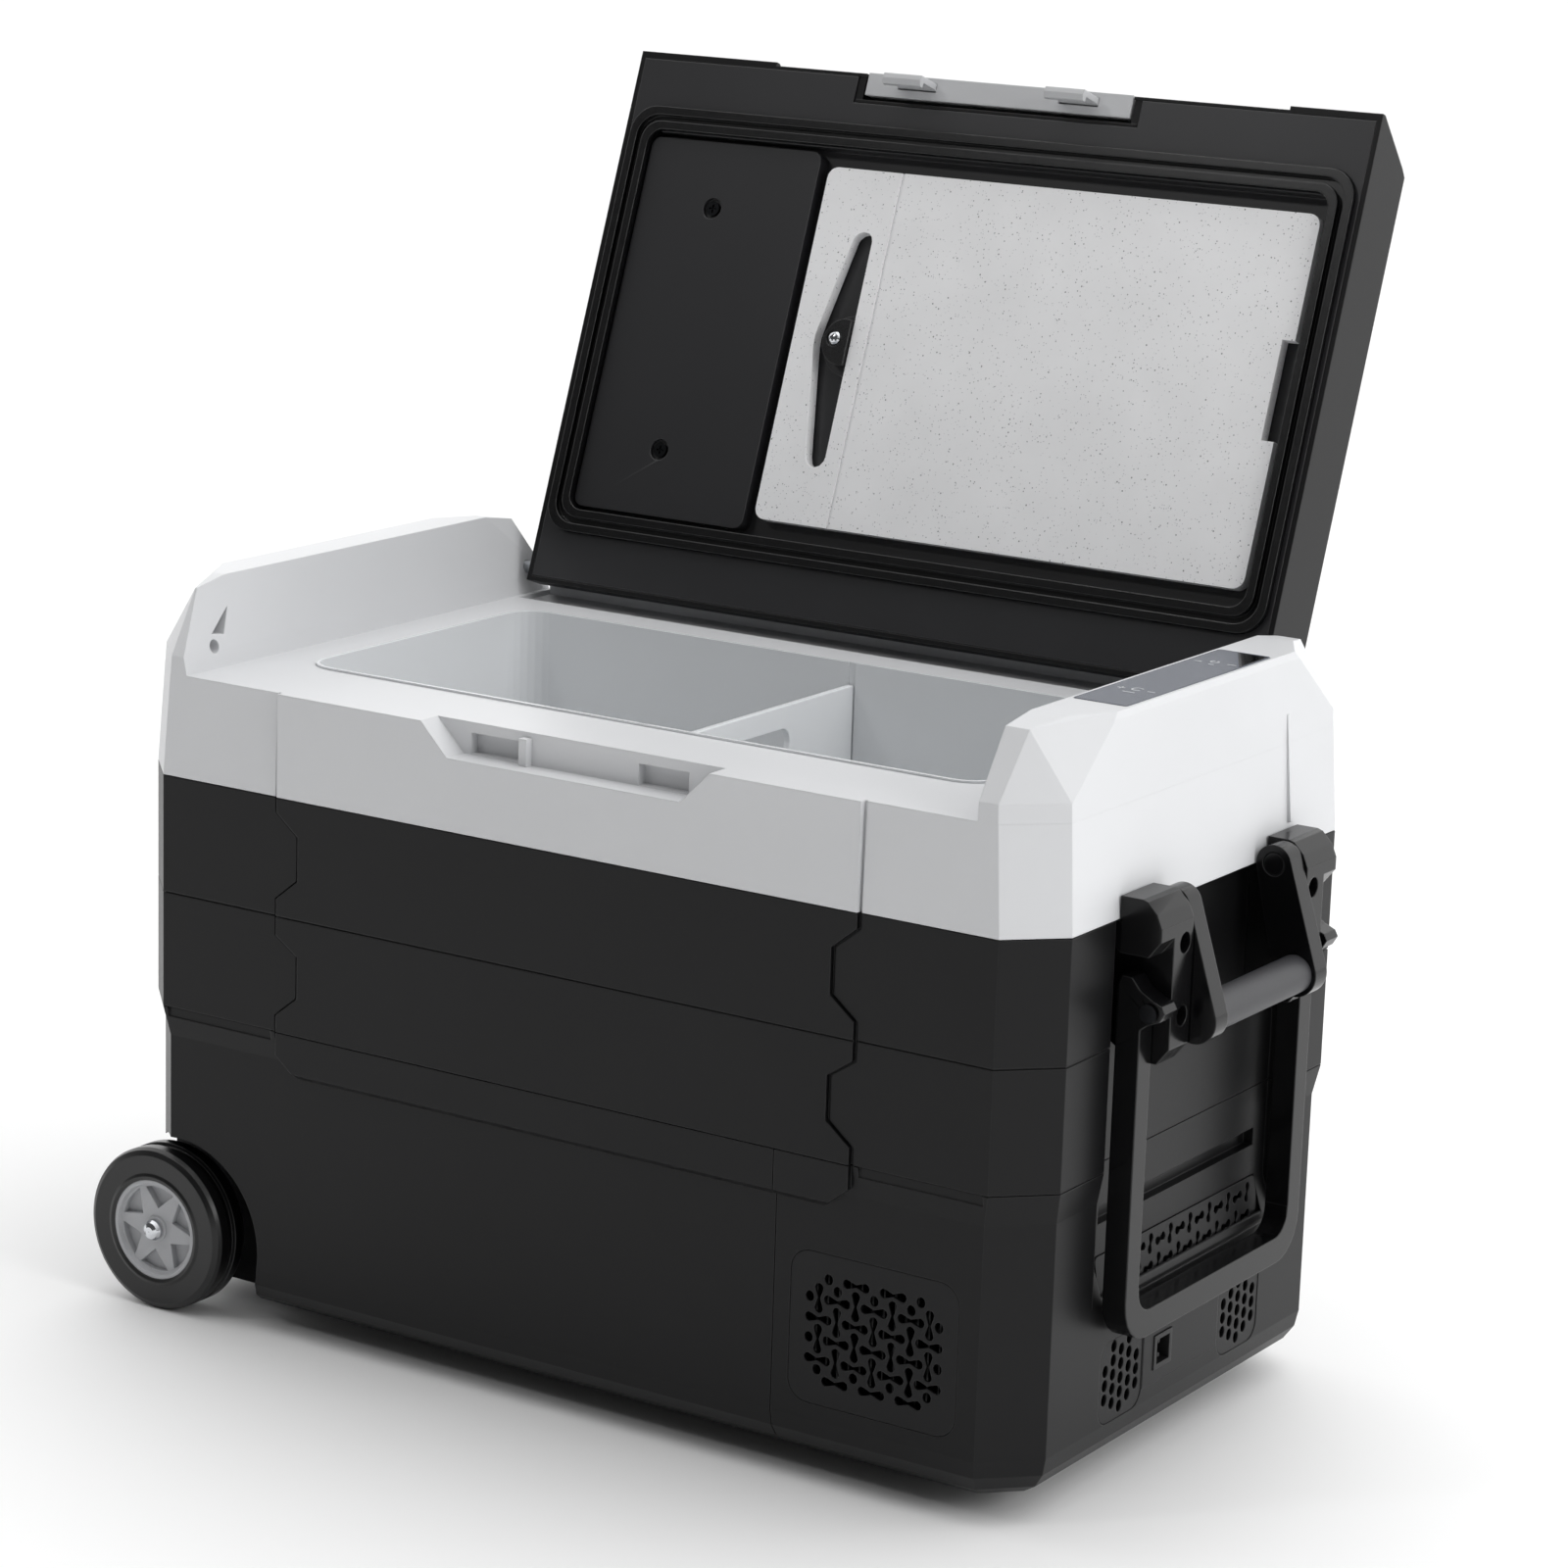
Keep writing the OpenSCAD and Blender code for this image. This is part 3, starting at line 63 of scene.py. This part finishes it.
class CoolerFinish(bpy.types.PropertyGroup):
    shell: bpy.props.StringProperty(
        name="Shell", description="Colour of the dark shells, sRGB hex", default="101011")
    trim: bpy.props.StringProperty(
        name="Trim", description="Colour of the grilles and the lid's inner parts", default="161617")
    pale: bpy.props.StringProperty(
        name="Frame", description="Colour of the pale top frame", default="d2d3d5")
    liner: bpy.props.StringProperty(
        name="Tub", description="Colour of the tub and the divider", default="e6e8ea")
    slate: bpy.props.StringProperty(
        name="Panel", description="Colour of the touch panel", default="565b66")
    handle: bpy.props.StringProperty(
        name="Handles", description="Colour of the brackets, arms and pull handle", default="0a0a0b")
    grip: bpy.props.StringProperty(
        name="Grip", description="Colour of the carry grip's sleeve", default="37373a")
    tyre: bpy.props.StringProperty(
        name="Tyre", description="Colour of the tyres", default="0b0b0c")
    hub: bpy.props.StringProperty(
        name="Hub", description="Colour of the wheel hubs", default="b4b5b8")
    board: bpy.props.StringProperty(
        name="Board", description="Base colour of the cutting board", default="f3f3f4")
    grain: bpy.props.FloatProperty(
        name="Grain", description="Width of one cell of the moulded grain", default=1.1 * MM,
        unit="LENGTH")
    edge: bpy.props.FloatProperty(
        name="Edge", description="Radius that the shells' edges are eased by", default=1.2 * MM,
        unit="LENGTH")


class CoolerStage(bpy.types.PropertyGroup):
    azimuth: bpy.props.FloatProperty(
        name="Azimuth", description="Camera angle round the object", default=math.radians(32.83),
        subtype="ANGLE")
    elevation: bpy.props.FloatProperty(
        name="Elevation", description="Camera angle above the horizon", default=math.radians(13.47),
        subtype="ANGLE")
    roll: bpy.props.FloatProperty(
        name="Roll", description="Turn of the camera about its view line", default=math.radians(1.84),
        subtype="ANGLE")
    distance: bpy.props.FloatProperty(
        name="Distance", description="Camera to target", default=2.5842, unit="LENGTH")
    lens: bpy.props.FloatProperty(
        name="Lens", description="Focal length on a 36 mm sensor", default=106.4)
    target: bpy.props.FloatVectorProperty(
        name="Target", description="Point the camera looks at", default=(0.0306, 0.0, 0.328),
        unit="LENGTH")
    floor: bpy.props.StringProperty(
        name="Floor", description="Colour of the floor, sRGB hex", default="f4f4f4")
    room: bpy.props.FloatProperty(
        name="Room", description="Brightness of the room in front of the object, as a share of the sweep",
        default=0.06)
    sky: bpy.props.FloatProperty(
        name="Sweep", description="Brightness of the white sweep behind and above", default=1.5)


# ---- helpers -----------------------------------------------------------

def linear(text):
    """An sRGB hex colour as linear red, green, blue and an alpha of 1."""
    channels = [int(text[k:k + 2], 16) / 255 for k in (0, 2, 4)]
    return [c / 12.92 if c <= 0.04045 else ((c + 0.055) / 1.055) ** 2.4 for c in channels] + [1.0]


def finish():
    return bpy.context.scene.cooler_finish


def add(tree, kind, settings=None, links=None):
    """Adds a shader node, sets its properties or sockets by name, and links its inputs."""
    node = tree.nodes.new(kind)
    for name, value in (settings or {}).items():
        if isinstance(name, str) and hasattr(node, name):
            setattr(node, name, value)
        else:
            node.inputs[name].default_value = value
    for name, (source, output) in (links or {}).items():
        tree.links.new(source.outputs[output], node.inputs[name])
    return node


def new_material(name):
    """An empty node material: its tree, its surface shader and its object coordinates."""
    material = bpy.data.materials.new(name)
    material.use_nodes = True
    tree = material.node_tree
    tree.nodes.clear()
    surface = add(tree, "ShaderNodeBsdfPrincipled")
    add(tree, "ShaderNodeOutputMaterial", links={"Surface": (surface, "BSDF")})
    place = add(tree, "ShaderNodeTexCoord")
    return material, tree, surface, place


def ramp(tree, source, low, high, low_colour, high_colour):
    """A two-stop colour ramp from a value."""
    node = add(tree, "ShaderNodeValToRGB", links={0: source})
    for stop, where, colour in zip(node.color_ramp.elements, (low, high), (low_colour, high_colour)):
        stop.position = where
        stop.color = colour
    return node


def wear_and_highlight_edges(tree, eased):
    """A mask that is 0 on flats and rises towards sharp edges, where the colour is lightened partly for wear
    and partly as painted highlight.
    """
    flat = add(tree, "ShaderNodeNewGeometry")
    match = add(tree, "ShaderNodeVectorMath", {"operation": "DOT_PRODUCT"},
                {0: (eased, "Normal"), 1: (flat, "Normal")})
    return add(tree, "ShaderNodeMapRange", {"From Min": 0.995, "From Max": 0.8}, {"Value": (match, "Value")})


def moulded(name, colour, roughness, grain, depth, spread=0.08, wear_and_highlight=0.25, specular=0.5):
    """A moulded polymer: an eroded-mould grain, faint flow mottling and edges lightened partly for wear and
    partly as painted highlight.
    """
    material, tree, surface, place = new_material(name)
    base = linear(colour)
    lighter = [c + (1 - c) * 0.1 for c in base[:3]] + [1]
    # flow marks of the melt, about 90 mm across, too faint to read as spots
    flow = add(tree, "ShaderNodeTexNoise", {"Scale": 1 / FLOW, "Detail": 4.0}, {"Vector": (place, "Object")})
    mottled = ramp(tree, (flow, "Fac"), 0.3, 0.7, [c * (1 - spread) for c in base[:3]] + [1],
                   [min(1, c * (1 + spread)) for c in base[:3]] + [1])
    # every moulded edge has a small radius that catches a line of light
    eased = add(tree, "ShaderNodeBevel", {"samples": 6, "Radius": EDGE_RADIUS})
    # painted highlight: sharp edges are lightened towards a paler tone, partly as handling wear and partly
    # standing in for the lines of light they catch
    wear_and_highlight_mask = wear_and_highlight_edges(tree, eased)
    amount = add(tree, "ShaderNodeMath", {"operation": "MULTIPLY", 1: wear_and_highlight}, {0: (wear_and_highlight_mask, "Result")})
    tint = add(tree, "ShaderNodeMix", {"data_type": "RGBA", 7: lighter},
               {0: (amount, "Value"), 6: (mottled, "Color")})
    # the grain is really 0.2 to 0.4 mm wide: drawn coarser so that it shows at this size
    cells = add(tree, "ShaderNodeTexNoise", {"Scale": 1 / grain, "Detail": 3.0, "Roughness": 0.6},
                {"Vector": (place, "Object")})
    gloss = add(tree, "ShaderNodeMapRange", {"To Min": roughness - 0.06, "To Max": roughness + 0.06},
                {"Value": (cells, "Fac")})
    bump = add(tree, "ShaderNodeBump", {"Strength": 0.5, "Distance": depth},
               {"Height": (cells, "Fac"), "Normal": (eased, "Normal")})
    surface.inputs["Specular IOR Level"].default_value = specular
    tree.links.new(tint.outputs[2], surface.inputs["Base Color"])
    tree.links.new(gloss.outputs["Result"], surface.inputs["Roughness"])
    tree.links.new(bump.outputs["Normal"], surface.inputs["Normal"])
    return material


def metal(name, colour, roughness, specks=0.0):
    """A bare or plated metal with a fine surface grain, coarser where specks are asked for."""
    material, tree, surface, place = new_material(name)
    surface.inputs["Metallic"].default_value = 1.0
    base = linear(colour)
    grain = add(tree, "ShaderNodeTexNoise", {"Scale": 1 / METAL_GRAIN, "Detail": 3.0},
                {"Vector": (place, "Object")})
    gloss = add(tree, "ShaderNodeMapRange",
                {"To Min": max(0.03, roughness - 0.08), "To Max": roughness + 0.1}, {"Value": (grain, "Fac")})
    tone = ramp(tree, (grain, "Fac"), 0.3, 0.7, [c * 0.88 for c in base[:3]] + [1], base)
    bump = add(tree, "ShaderNodeBump", {"Strength": 0.2 + specks, "Distance": 0.02 * MM},
               {"Height": (grain, "Fac")})
    tree.links.new(tone.outputs["Color"], surface.inputs["Base Color"])
    tree.links.new(gloss.outputs["Result"], surface.inputs["Roughness"])
    tree.links.new(bump.outputs["Normal"], surface.inputs["Normal"])
    return material


def dress(material, *names):
    """Gives CAD nodes one material."""
    for name in names:
        data = NODES[name].data
        data.materials.clear()
        data.materials.append(material)


def dress_piece(piece, material):
    """Gives a new piece its material."""
    piece.data.materials.append(material)


def bar(x, y, wide, deep):
    """Outline of a rectangle about a middle."""
    return [(x - wide / 2, y - deep / 2), (x + wide / 2, y - deep / 2), (x + wide / 2, y + deep / 2),
            (x - wide / 2, y + deep / 2)]


def ring(x, y, radius, thick, start, end, step=20):
    """Outlines of the short pieces that make up part of a ring, angles in degrees."""
    def at(r, a):
        return x + r * math.cos(math.radians(a)), y + r * math.sin(math.radians(a))
    inner = radius - thick
    return [[at(inner, a), at(radius, a), at(radius, a + step), at(inner, a + step)]
            for a in range(start, end, step)]


def flat_print(name, outlines, z):
    """Thin printed shapes that lie on a level surface of the body."""
    mesh = bmesh.new()
    for outline in outlines:
        face = mesh.faces.new([mesh.verts.new((x, y, z)) for x, y in outline])
        grown = bmesh.ops.extrude_face_region(mesh, geom=[face])
        raised = [v for v in grown["geom"] if isinstance(v, bmesh.types.BMVert)]
        bmesh.ops.translate(mesh, vec=(0, 0, PRINT_THICK), verts=raised)
    bmesh.ops.recalc_face_normals(mesh, faces=mesh.faces[:])
    data = bpy.data.meshes.new(name)
    mesh.to_mesh(data)
    mesh.free()
    piece = bpy.data.objects.new(name, data)
    bpy.context.collection.objects.link(piece)
    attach(piece, "body")
    return piece


def ease(width, angle, *names):
    """Rounds the sharp edges of CAD nodes, as a mould does."""
    for name in names:
        piece = NODES[name]
        weld = piece.modifiers.new("weld", "WELD")
        weld.merge_threshold = 0.01 * MM
        bevel = piece.modifiers.new("ease", "BEVEL")
        bevel.width = width
        bevel.segments = 3
        bevel.limit_method = "ANGLE"
        bevel.angle_limit = math.radians(angle)
        bevel.use_clamp_overlap = True
        bevel.harden_normals = True


# ---- operators ---------------------------------------------------------

class COOLER_OT_shells(bpy.types.Operator):
    """Dark moulded shells of the body and the lid"""
    bl_idname = "cooler.shells"
    bl_label = "Shells"

    def execute(self, context):
        values = finish()
        # ABS from an eroded mould: satin, even, with broad soft highlights
        abs_dark = moulded("abs_dark_eroded_mould", values.shell, 0.38, values.grain, 0.05 * MM,
                           specular=0.22)
        dress(abs_dark, "base_shell", "upper_shell", "compressor_cover", "lid_shell")
        return {"FINISHED"}


class COOLER_OT_top_frame(bpy.types.Operator):
    """Pale moulded frame round the tub"""
    bl_idname = "cooler.top_frame"
    bl_label = "Top frame"

    def execute(self, context):
        values = finish()
        # pigmented ABS: pale, satin, bounces light back into the tub
        pale = moulded("abs_pale_satin", values.pale, 0.38, values.grain, 0.03 * MM, 0.015, 0.4)
        dress(pale, "top_frame")
        return {"FINISHED"}


class COOLER_OT_tub(bpy.types.Operator):
    """Tub liner and lift-out divider"""
    bl_idname = "cooler.tub"
    bl_label = "Tub"

    def execute(self, context):
        # food-grade polystyrene, vacuum formed: smooth and slightly glossy
        white = moulded("polystyrene_formed", finish().liner, 0.22, 6 * MM, 0.04 * MM, 0.01, 0.0)
        dress(white, "tub_liner", "divider")
        return {"FINISHED"}


class COOLER_OT_control_panel(bpy.types.Operator):
    """Touch panel on the side wall, with its circuit board below"""
    bl_idname = "cooler.control_panel"
    bl_label = "Control panel"

    def execute(self, context):
        # printed polycarbonate film: slate, glossy, slightly uneven where it is bonded down
        film = moulded("polycarbonate_film", finish().slate, 0.16, 3 * MM, 0.01 * MM, 0.05, 0.1)
        dress(film, "control_panel")
        resist = moulded("solder_resist", "1d4a30", 0.35, 2 * MM, 0.05 * MM, 0.2)
        dress(resist, "display_board", "control_board")
        low, high = (Vector(corner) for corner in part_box("control_panel"))
        width, length = high.x - low.x, high.y - low.y

        def spot(across, along):
            return low.x + width * across, low.y + length * along

        # painted reflection: a black triangle printed in the back corner of the film, where the dark side of
        # the lid shows in the gloss
        painted_reflection = flat_print("panel_painted_reflection", [[spot(0.4, 0.985), spot(0.97, 0.985), spot(0.97, 0.78)]], high.z)
        dress_piece(painted_reflection, moulded("dark_reflection_paint", "050506", 0.12, 3 * MM, 0.01 * MM, 0.05, 0.0))
        # touch marks: generic plus, minus, ring and bars, printed white
        marks = [bar(*spot(0.24, 0.235), 4.4 * MM, 0.8 * MM), bar(*spot(0.24, 0.235), 0.8 * MM, 4.4 * MM),
                 bar(*spot(0.8, 0.235), 4.4 * MM, 0.8 * MM), bar(*spot(0.5, 0.19), 7 * MM, 0.9 * MM),
                 bar(*spot(0.2, 0.775), 4 * MM, 1 * MM), bar(*spot(0.8, 0.79), 5 * MM, 1 * MM),
                 bar(*spot(0.5, 0.755), 3 * MM, 1 * MM)]
        marks += ring(*spot(0.52, 0.245), 3.4 * MM, 0.8 * MM, 40, 320)
        marks += ring(*spot(0.45, 0.8), 2.6 * MM, 0.8 * MM, 110, 430)
        ink = moulded("screen_print_ink", "eef0f2", 0.4, 3 * MM, 0.01 * MM, 0.02, 0.0)
        dress_piece(flat_print("panel_marks", marks, high.z), ink)
        return {"FINISHED"}


class COOLER_OT_grilles(bpy.types.Operator):
    """Grilles, socket plate and socket"""
    bl_idname = "cooler.grilles"
    bl_label = "Grilles and socket"

    def execute(self, context):
        values = finish()
        trim = moulded("abs_dark_trim", values.trim, 0.4, values.grain, 0.04 * MM, specular=0.22)
        dress(trim, "front_grille", "end_grilles", "recess_grille", "socket_plate")
        # nylon socket body: deeper black, matt
        nylon = moulded("nylon_socket", "111112", 0.5, values.grain, 0.03 * MM)
        dress(nylon, "dc_socket")
        return {"FINISHED"}


class COOLER_OT_handles(bpy.types.Operator):
    """Carry handle, pull handle and their brackets"""
    bl_idname = "cooler.handles"
    bl_label = "Handles"

    def execute(self, context):
        values = finish()
        # glass-filled nylon: black with a fine dry grain, its edges lightened partly for wear and partly as
        # painted highlight
        nylon = moulded("nylon_glass_filled", values.handle, 0.2, values.grain, 0.03 * MM, 0.1, 0.3, 0.3)
        dress(nylon, "handle_brackets", "carry_arm_front", "carry_arm_back", "pull_handle",
              "carry_pivot_pins")
        # soft sleeve over the rod: dark grey, low sheen
        sleeve = moulded("elastomer_sleeve", values.grip, 0.5, values.grain, 0.05 * MM, 0.08, 0.3)
        dress(sleeve, "carry_grip")
        return {"FINISHED"}


class COOLER_OT_wheels(bpy.types.Operator):
    """Wheels, axle and caps"""
    bl_idname = "cooler.wheels"
    bl_label = "Wheels"

    def execute(self, context):
        values = finish()
        # foamed rubber: near black, matt, scuffed by the ground, its edges lightened partly as scuffs and
        # partly as painted highlight
        rubber = moulded("rubber_tyre", values.tyre, 0.32, 2.2 * MM, 0.1 * MM, 0.25, 0.5)
        dress(rubber, "wheel_tyre_front", "wheel_tyre_back")
        hub = moulded("polypropylene_hub", values.hub, 0.42, values.grain, 0.04 * MM, 0.04, 0.4)
        dress(hub, "wheel_hub_front", "wheel_hub_back")
        chrome = metal("chromed_steel", "d8dade", 0.12)
        dress(chrome, "axle_caps", "knob_screw")
        return {"FINISHED"}


class COOLER_OT_lid(bpy.types.Operator):
    """Lid liner, gasket, side panel, board, turn button and latch"""
    bl_idname = "cooler.lid"
    bl_label = "Lid"

    def execute(self, context):
        values = finish()
        liner = moulded("abs_lid_liner", "232325", 0.36, values.grain, 0.03 * MM)
        dress(liner, "lid_liner", "lid_side_panel")
        # extruded elastomer: black, smooth, softly shining along its ridges
        gasket = moulded("elastomer_gasket", "0c0c0d", 0.24, 4 * MM, 0.03 * MM, 0.1, 0.2)
        dress(gasket, "lid_gasket")
        knob = moulded("acetal_knob", "141415", 0.28, values.grain, 0.02 * MM)
        dress(knob, "board_knob")
        latch = moulded("abs_latch", "bcbdbf", 0.36, values.grain, 0.02 * MM, 0.02, 0.5)
        dress(latch, "latch_lever", "latch_hooks")
        return {"FINISHED"}


class COOLER_OT_board(bpy.types.Operator):
    """Speckled cutting board"""
    bl_idname = "cooler.board"
    bl_label = "Cutting board"

    def execute(self, context):
        # polyethylene with ground flecks: off-white, matt, grey specks of about 1 mm
        material, tree, surface, place = new_material("polyethylene_flecked")
        base = linear(finish().board)
        drift = add(tree, "ShaderNodeTexNoise", {"Scale": 1 / BOARD_DRIFT, "Detail": 5.0},
                    {"Vector": (place, "Object")})
        body = ramp(tree, (drift, "Fac"), 0.3, 0.7, [c * 0.95 for c in base[:3]] + [1], base)
        colour = (body, "Color")
        for size, share, tone in ((2.4, 0.2, "8b8b8e"), (4.5, 0.13, "6c6c70"), (1.5, 0.24, "b4b4b8")):
            flecks = add(tree, "ShaderNodeTexVoronoi", {"Scale": 1 / (size * MM), "Randomness": 1.0},
                         {"Vector": (place, "Object")})
            spot = add(tree, "ShaderNodeMapRange", {"From Min": share, "From Max": share * 0.6},
                       {"Value": (flecks, "Distance")})
            pick = add(tree, "ShaderNodeSeparateColor", links={0: (flecks, "Color")})
            keep = add(tree, "ShaderNodeMath", {"operation": "GREATER_THAN", 1: 0.72}, {0: (pick, 0)})
            amount = add(tree, "ShaderNodeMath", {"operation": "MULTIPLY"},
                         {0: (spot, "Result"), 1: (keep, "Value")})
            mixed = add(tree, "ShaderNodeMix", {"data_type": "RGBA", 7: linear(tone)},
                        {0: (amount, "Value"), 6: colour})
            colour = (mixed, 2)
        tree.links.new(colour[0].outputs[colour[1]], surface.inputs["Base Color"])
        surface.inputs["Roughness"].default_value = 0.5
        cuts = add(tree, "ShaderNodeTexNoise", {"Scale": 1 / BOARD_CUTS, "Detail": 4.0},
                   {"Vector": (place, "Object")})
        bump = add(tree, "ShaderNodeBump", {"Strength": 0.3, "Distance": 0.05 * MM},
                   {"Height": (cuts, "Fac")})
        tree.links.new(bump.outputs["Normal"], surface.inputs["Normal"])
        dress(material, "cutting_board")
        return {"FINISHED"}


class COOLER_OT_fasteners(bpy.types.Operator):
    """Screws, pins and rods"""
    bl_idname = "cooler.fasteners"
    bl_label = "Fasteners"

    def execute(self, context):
        zinc = metal("zinc_plated_steel", "b4b7bb", 0.3)
        dress(zinc, "carry_grip_rod", "axle", "foot_screws", "latch_pin", "hinge_pins")
        black = metal("black_oxide_steel", "2a2b2d", 0.3)
        dress(black, "bracket_screws", "side_panel_screws", "pull_pivot_pins")
        return {"FINISHED"}


class COOLER_OT_cooling_unit(bpy.types.Operator):
    """Compressor bay and insulation"""
    bl_idname = "cooler.cooling_unit"
    bl_label = "Cooling unit"

    def execute(self, context):
        enamel = moulded("enamelled_steel", "1c1d1f", 0.3, 2 * MM, 0.05 * MM)
        dress(enamel, "compressor")
        fan = moulded("polyester_fan", "1e1f21", 0.45, finish().grain, 0.03 * MM)
        dress(fan, "fan_frame", "fan_rotor")
        rubber = moulded("rubber_feet", "18181a", 0.6, 1.5 * MM, 0.08 * MM)
        dress(rubber, "rubber_feet", "compressor_grommets")
        dress(metal("rolled_aluminium", "c4c8cc", 0.32), "evaporator")
        # painted shade: the condenser fins are coloured near black so that the bay behind the grille reads
        # dark
        shaded_fins = moulded("coated_fins", "0f1011", 0.4, 1.5 * MM, 0.05 * MM)
        dress(shaded_fins, "condenser")
        dress(metal("drawn_copper", "b9744a", 0.28), "filter_drier", "refrigerant_pipes")
        dress(metal("galvanised_sheet", "9ea3a8", 0.4, specks=0.3), "bay_bulkhead", "base_plate")
        foam = moulded("polyurethane_foam", "e3d3a0", 0.85, 1.6 * MM, 0.4 * MM, 0.12, 0.0)
        dress(foam, "foam_insulation", "lid_foam")
        return {"FINISHED"}


class COOLER_OT_edges(bpy.types.Operator):
    """Eases the edges of the visible moulded pieces"""
    bl_idname = "cooler.edges"
    bl_label = "Edges"

    def execute(self, context):
        width = finish().edge
        ease(width, 28, "top_frame", "lid_shell")
        ease(width * 0.6, 28, "pull_handle", "carry_arm_front", "carry_arm_back", "handle_brackets")
        ease(width * 0.5, 28, "cutting_board", "latch_lever", "board_knob", "lid_side_panel", "divider")
        return {"FINISHED"}


class COOLER_OT_stage(bpy.types.Operator):
    """Floor, lights and camera"""
    bl_idname = "cooler.stage"
    bl_label = "Stage"

    def execute(self, context):
        values = context.scene.cooler_stage
        context.scene.view_settings.view_transform = "Standard"
        mesh = bpy.data.meshes.new("floor")
        corners = [(x * FLOOR_HALF, y * FLOOR_HALF, 0) for x, y in ((-1, -1), (1, -1), (1, 1), (-1, 1))]
        mesh.from_pydata(corners, [], [(0, 1, 2, 3)])
        floor = bpy.data.objects.new("floor", mesh)
        context.collection.objects.link(floor)
        material, tree, surface, place = new_material("paper_floor")
        surface.inputs["Base Color"].default_value = linear(values.floor)
        surface.inputs["Roughness"].default_value = 0.7
        mesh.materials.append(material)
        world = bpy.data.worlds.new("studio")
        world.use_nodes = True
        tree = world.node_tree
        # white sweep behind the object and above it, and a darker room in front of it
        place = add(tree, "ShaderNodeTexCoord")
        split = add(tree, "ShaderNodeSeparateXYZ", links={0: (place, "Generated")})
        behind = add(tree, "ShaderNodeMath", {"operation": "MULTIPLY_ADD", 1: 0.4},
                     {0: (split, "Z"), 2: (split, "Y")})
        share = add(tree, "ShaderNodeMapRange", {"From Min": -0.4, "From Max": 0.3},
                    {"Value": (behind, "Value")})
        wall = ramp(tree, (share, "Result"), 0.0, 1.0, [values.room] * 3 + [1], (1, 1, 1, 1))
        background = tree.nodes["Background"]
        background.inputs["Strength"].default_value = values.sky
        tree.links.new(wall.outputs["Color"], background.inputs["Color"])
        context.scene.world = world
        for name, where, power, width in (
                ("key", (3.0, -0.4, 1.5), 21, 1.2),
                ("strip", (-1.6, -2.4, 2.9), 8, 0.35),
                ("top", (0.2, 0.3, 3.0), 8, 1.6)):
            light = bpy.data.lights.new(name, "AREA")
            light.energy = power
            light.size = width
            lamp = bpy.data.objects.new(name, light)
            lamp.location = where
            aim = Vector((0, 0, 0.3)) - Vector(where)
            lamp.rotation_euler = aim.to_track_quat("-Z", "Y").to_euler()
            context.collection.objects.link(lamp)
        a, e, r = values.azimuth, values.elevation, values.roll
        back = Vector((math.sin(a) * math.cos(e), -math.cos(a) * math.cos(e), math.sin(e)))
        right = Vector((math.cos(a), math.sin(a), 0))
        up = back.cross(right)
        axes = Matrix((right * math.cos(r) + up * math.sin(r), up * math.cos(r) - right * math.sin(r), back))
        camera = bpy.data.objects.new("camera", bpy.data.cameras.new("camera"))
        camera.data.lens = values.lens
        stand = Matrix.Translation(Vector(values.target) + back * values.distance)
        camera.matrix_world = stand @ axes.transposed().to_4x4()
        context.collection.objects.link(camera)
        context.scene.camera = camera
        return {"FINISHED"}


STEPS = (
    COOLER_OT_shells, COOLER_OT_top_frame, COOLER_OT_tub, COOLER_OT_control_panel, COOLER_OT_grilles,
    COOLER_OT_handles, COOLER_OT_wheels, COOLER_OT_lid, COOLER_OT_board, COOLER_OT_fasteners,
    COOLER_OT_cooling_unit, COOLER_OT_edges, COOLER_OT_stage,
)


class COOLER_PT_panel(bpy.types.Panel):
    """Lists the steps that finish the cooler"""
    bl_idname = "COOLER_PT_panel"
    bl_label = "Compressor cooler"
    bl_space_type = "VIEW_3D"
    bl_region_type = "UI"
    bl_category = "Cooler"

    def draw(self, context):
        for group in (context.scene.cooler_finish, context.scene.cooler_stage):
            for name in group.bl_rna.properties.keys():
                if name not in ("rna_type", "name"):
                    self.layout.prop(group, name)
        for step in STEPS:
            self.layout.operator(step.bl_idname)


CLASSES = (CoolerFinish, CoolerStage) + STEPS + (COOLER_PT_panel,)


def register():
    for kind in CLASSES:
        bpy.utils.register_class(kind)
    bpy.types.Scene.cooler_finish = bpy.props.PointerProperty(type=CoolerFinish)
    bpy.types.Scene.cooler_stage = bpy.props.PointerProperty(type=CoolerStage)


def unregister():
    del bpy.types.Scene.cooler_stage
    del bpy.types.Scene.cooler_finish
    for kind in reversed(CLASSES):
        bpy.utils.unregister_class(kind)


def main():
    register()
    for step in STEPS:
        group, name = step.bl_idname.split(".")
        getattr(getattr(bpy.ops, group), name)()


if __name__ == "__main__":
    main()
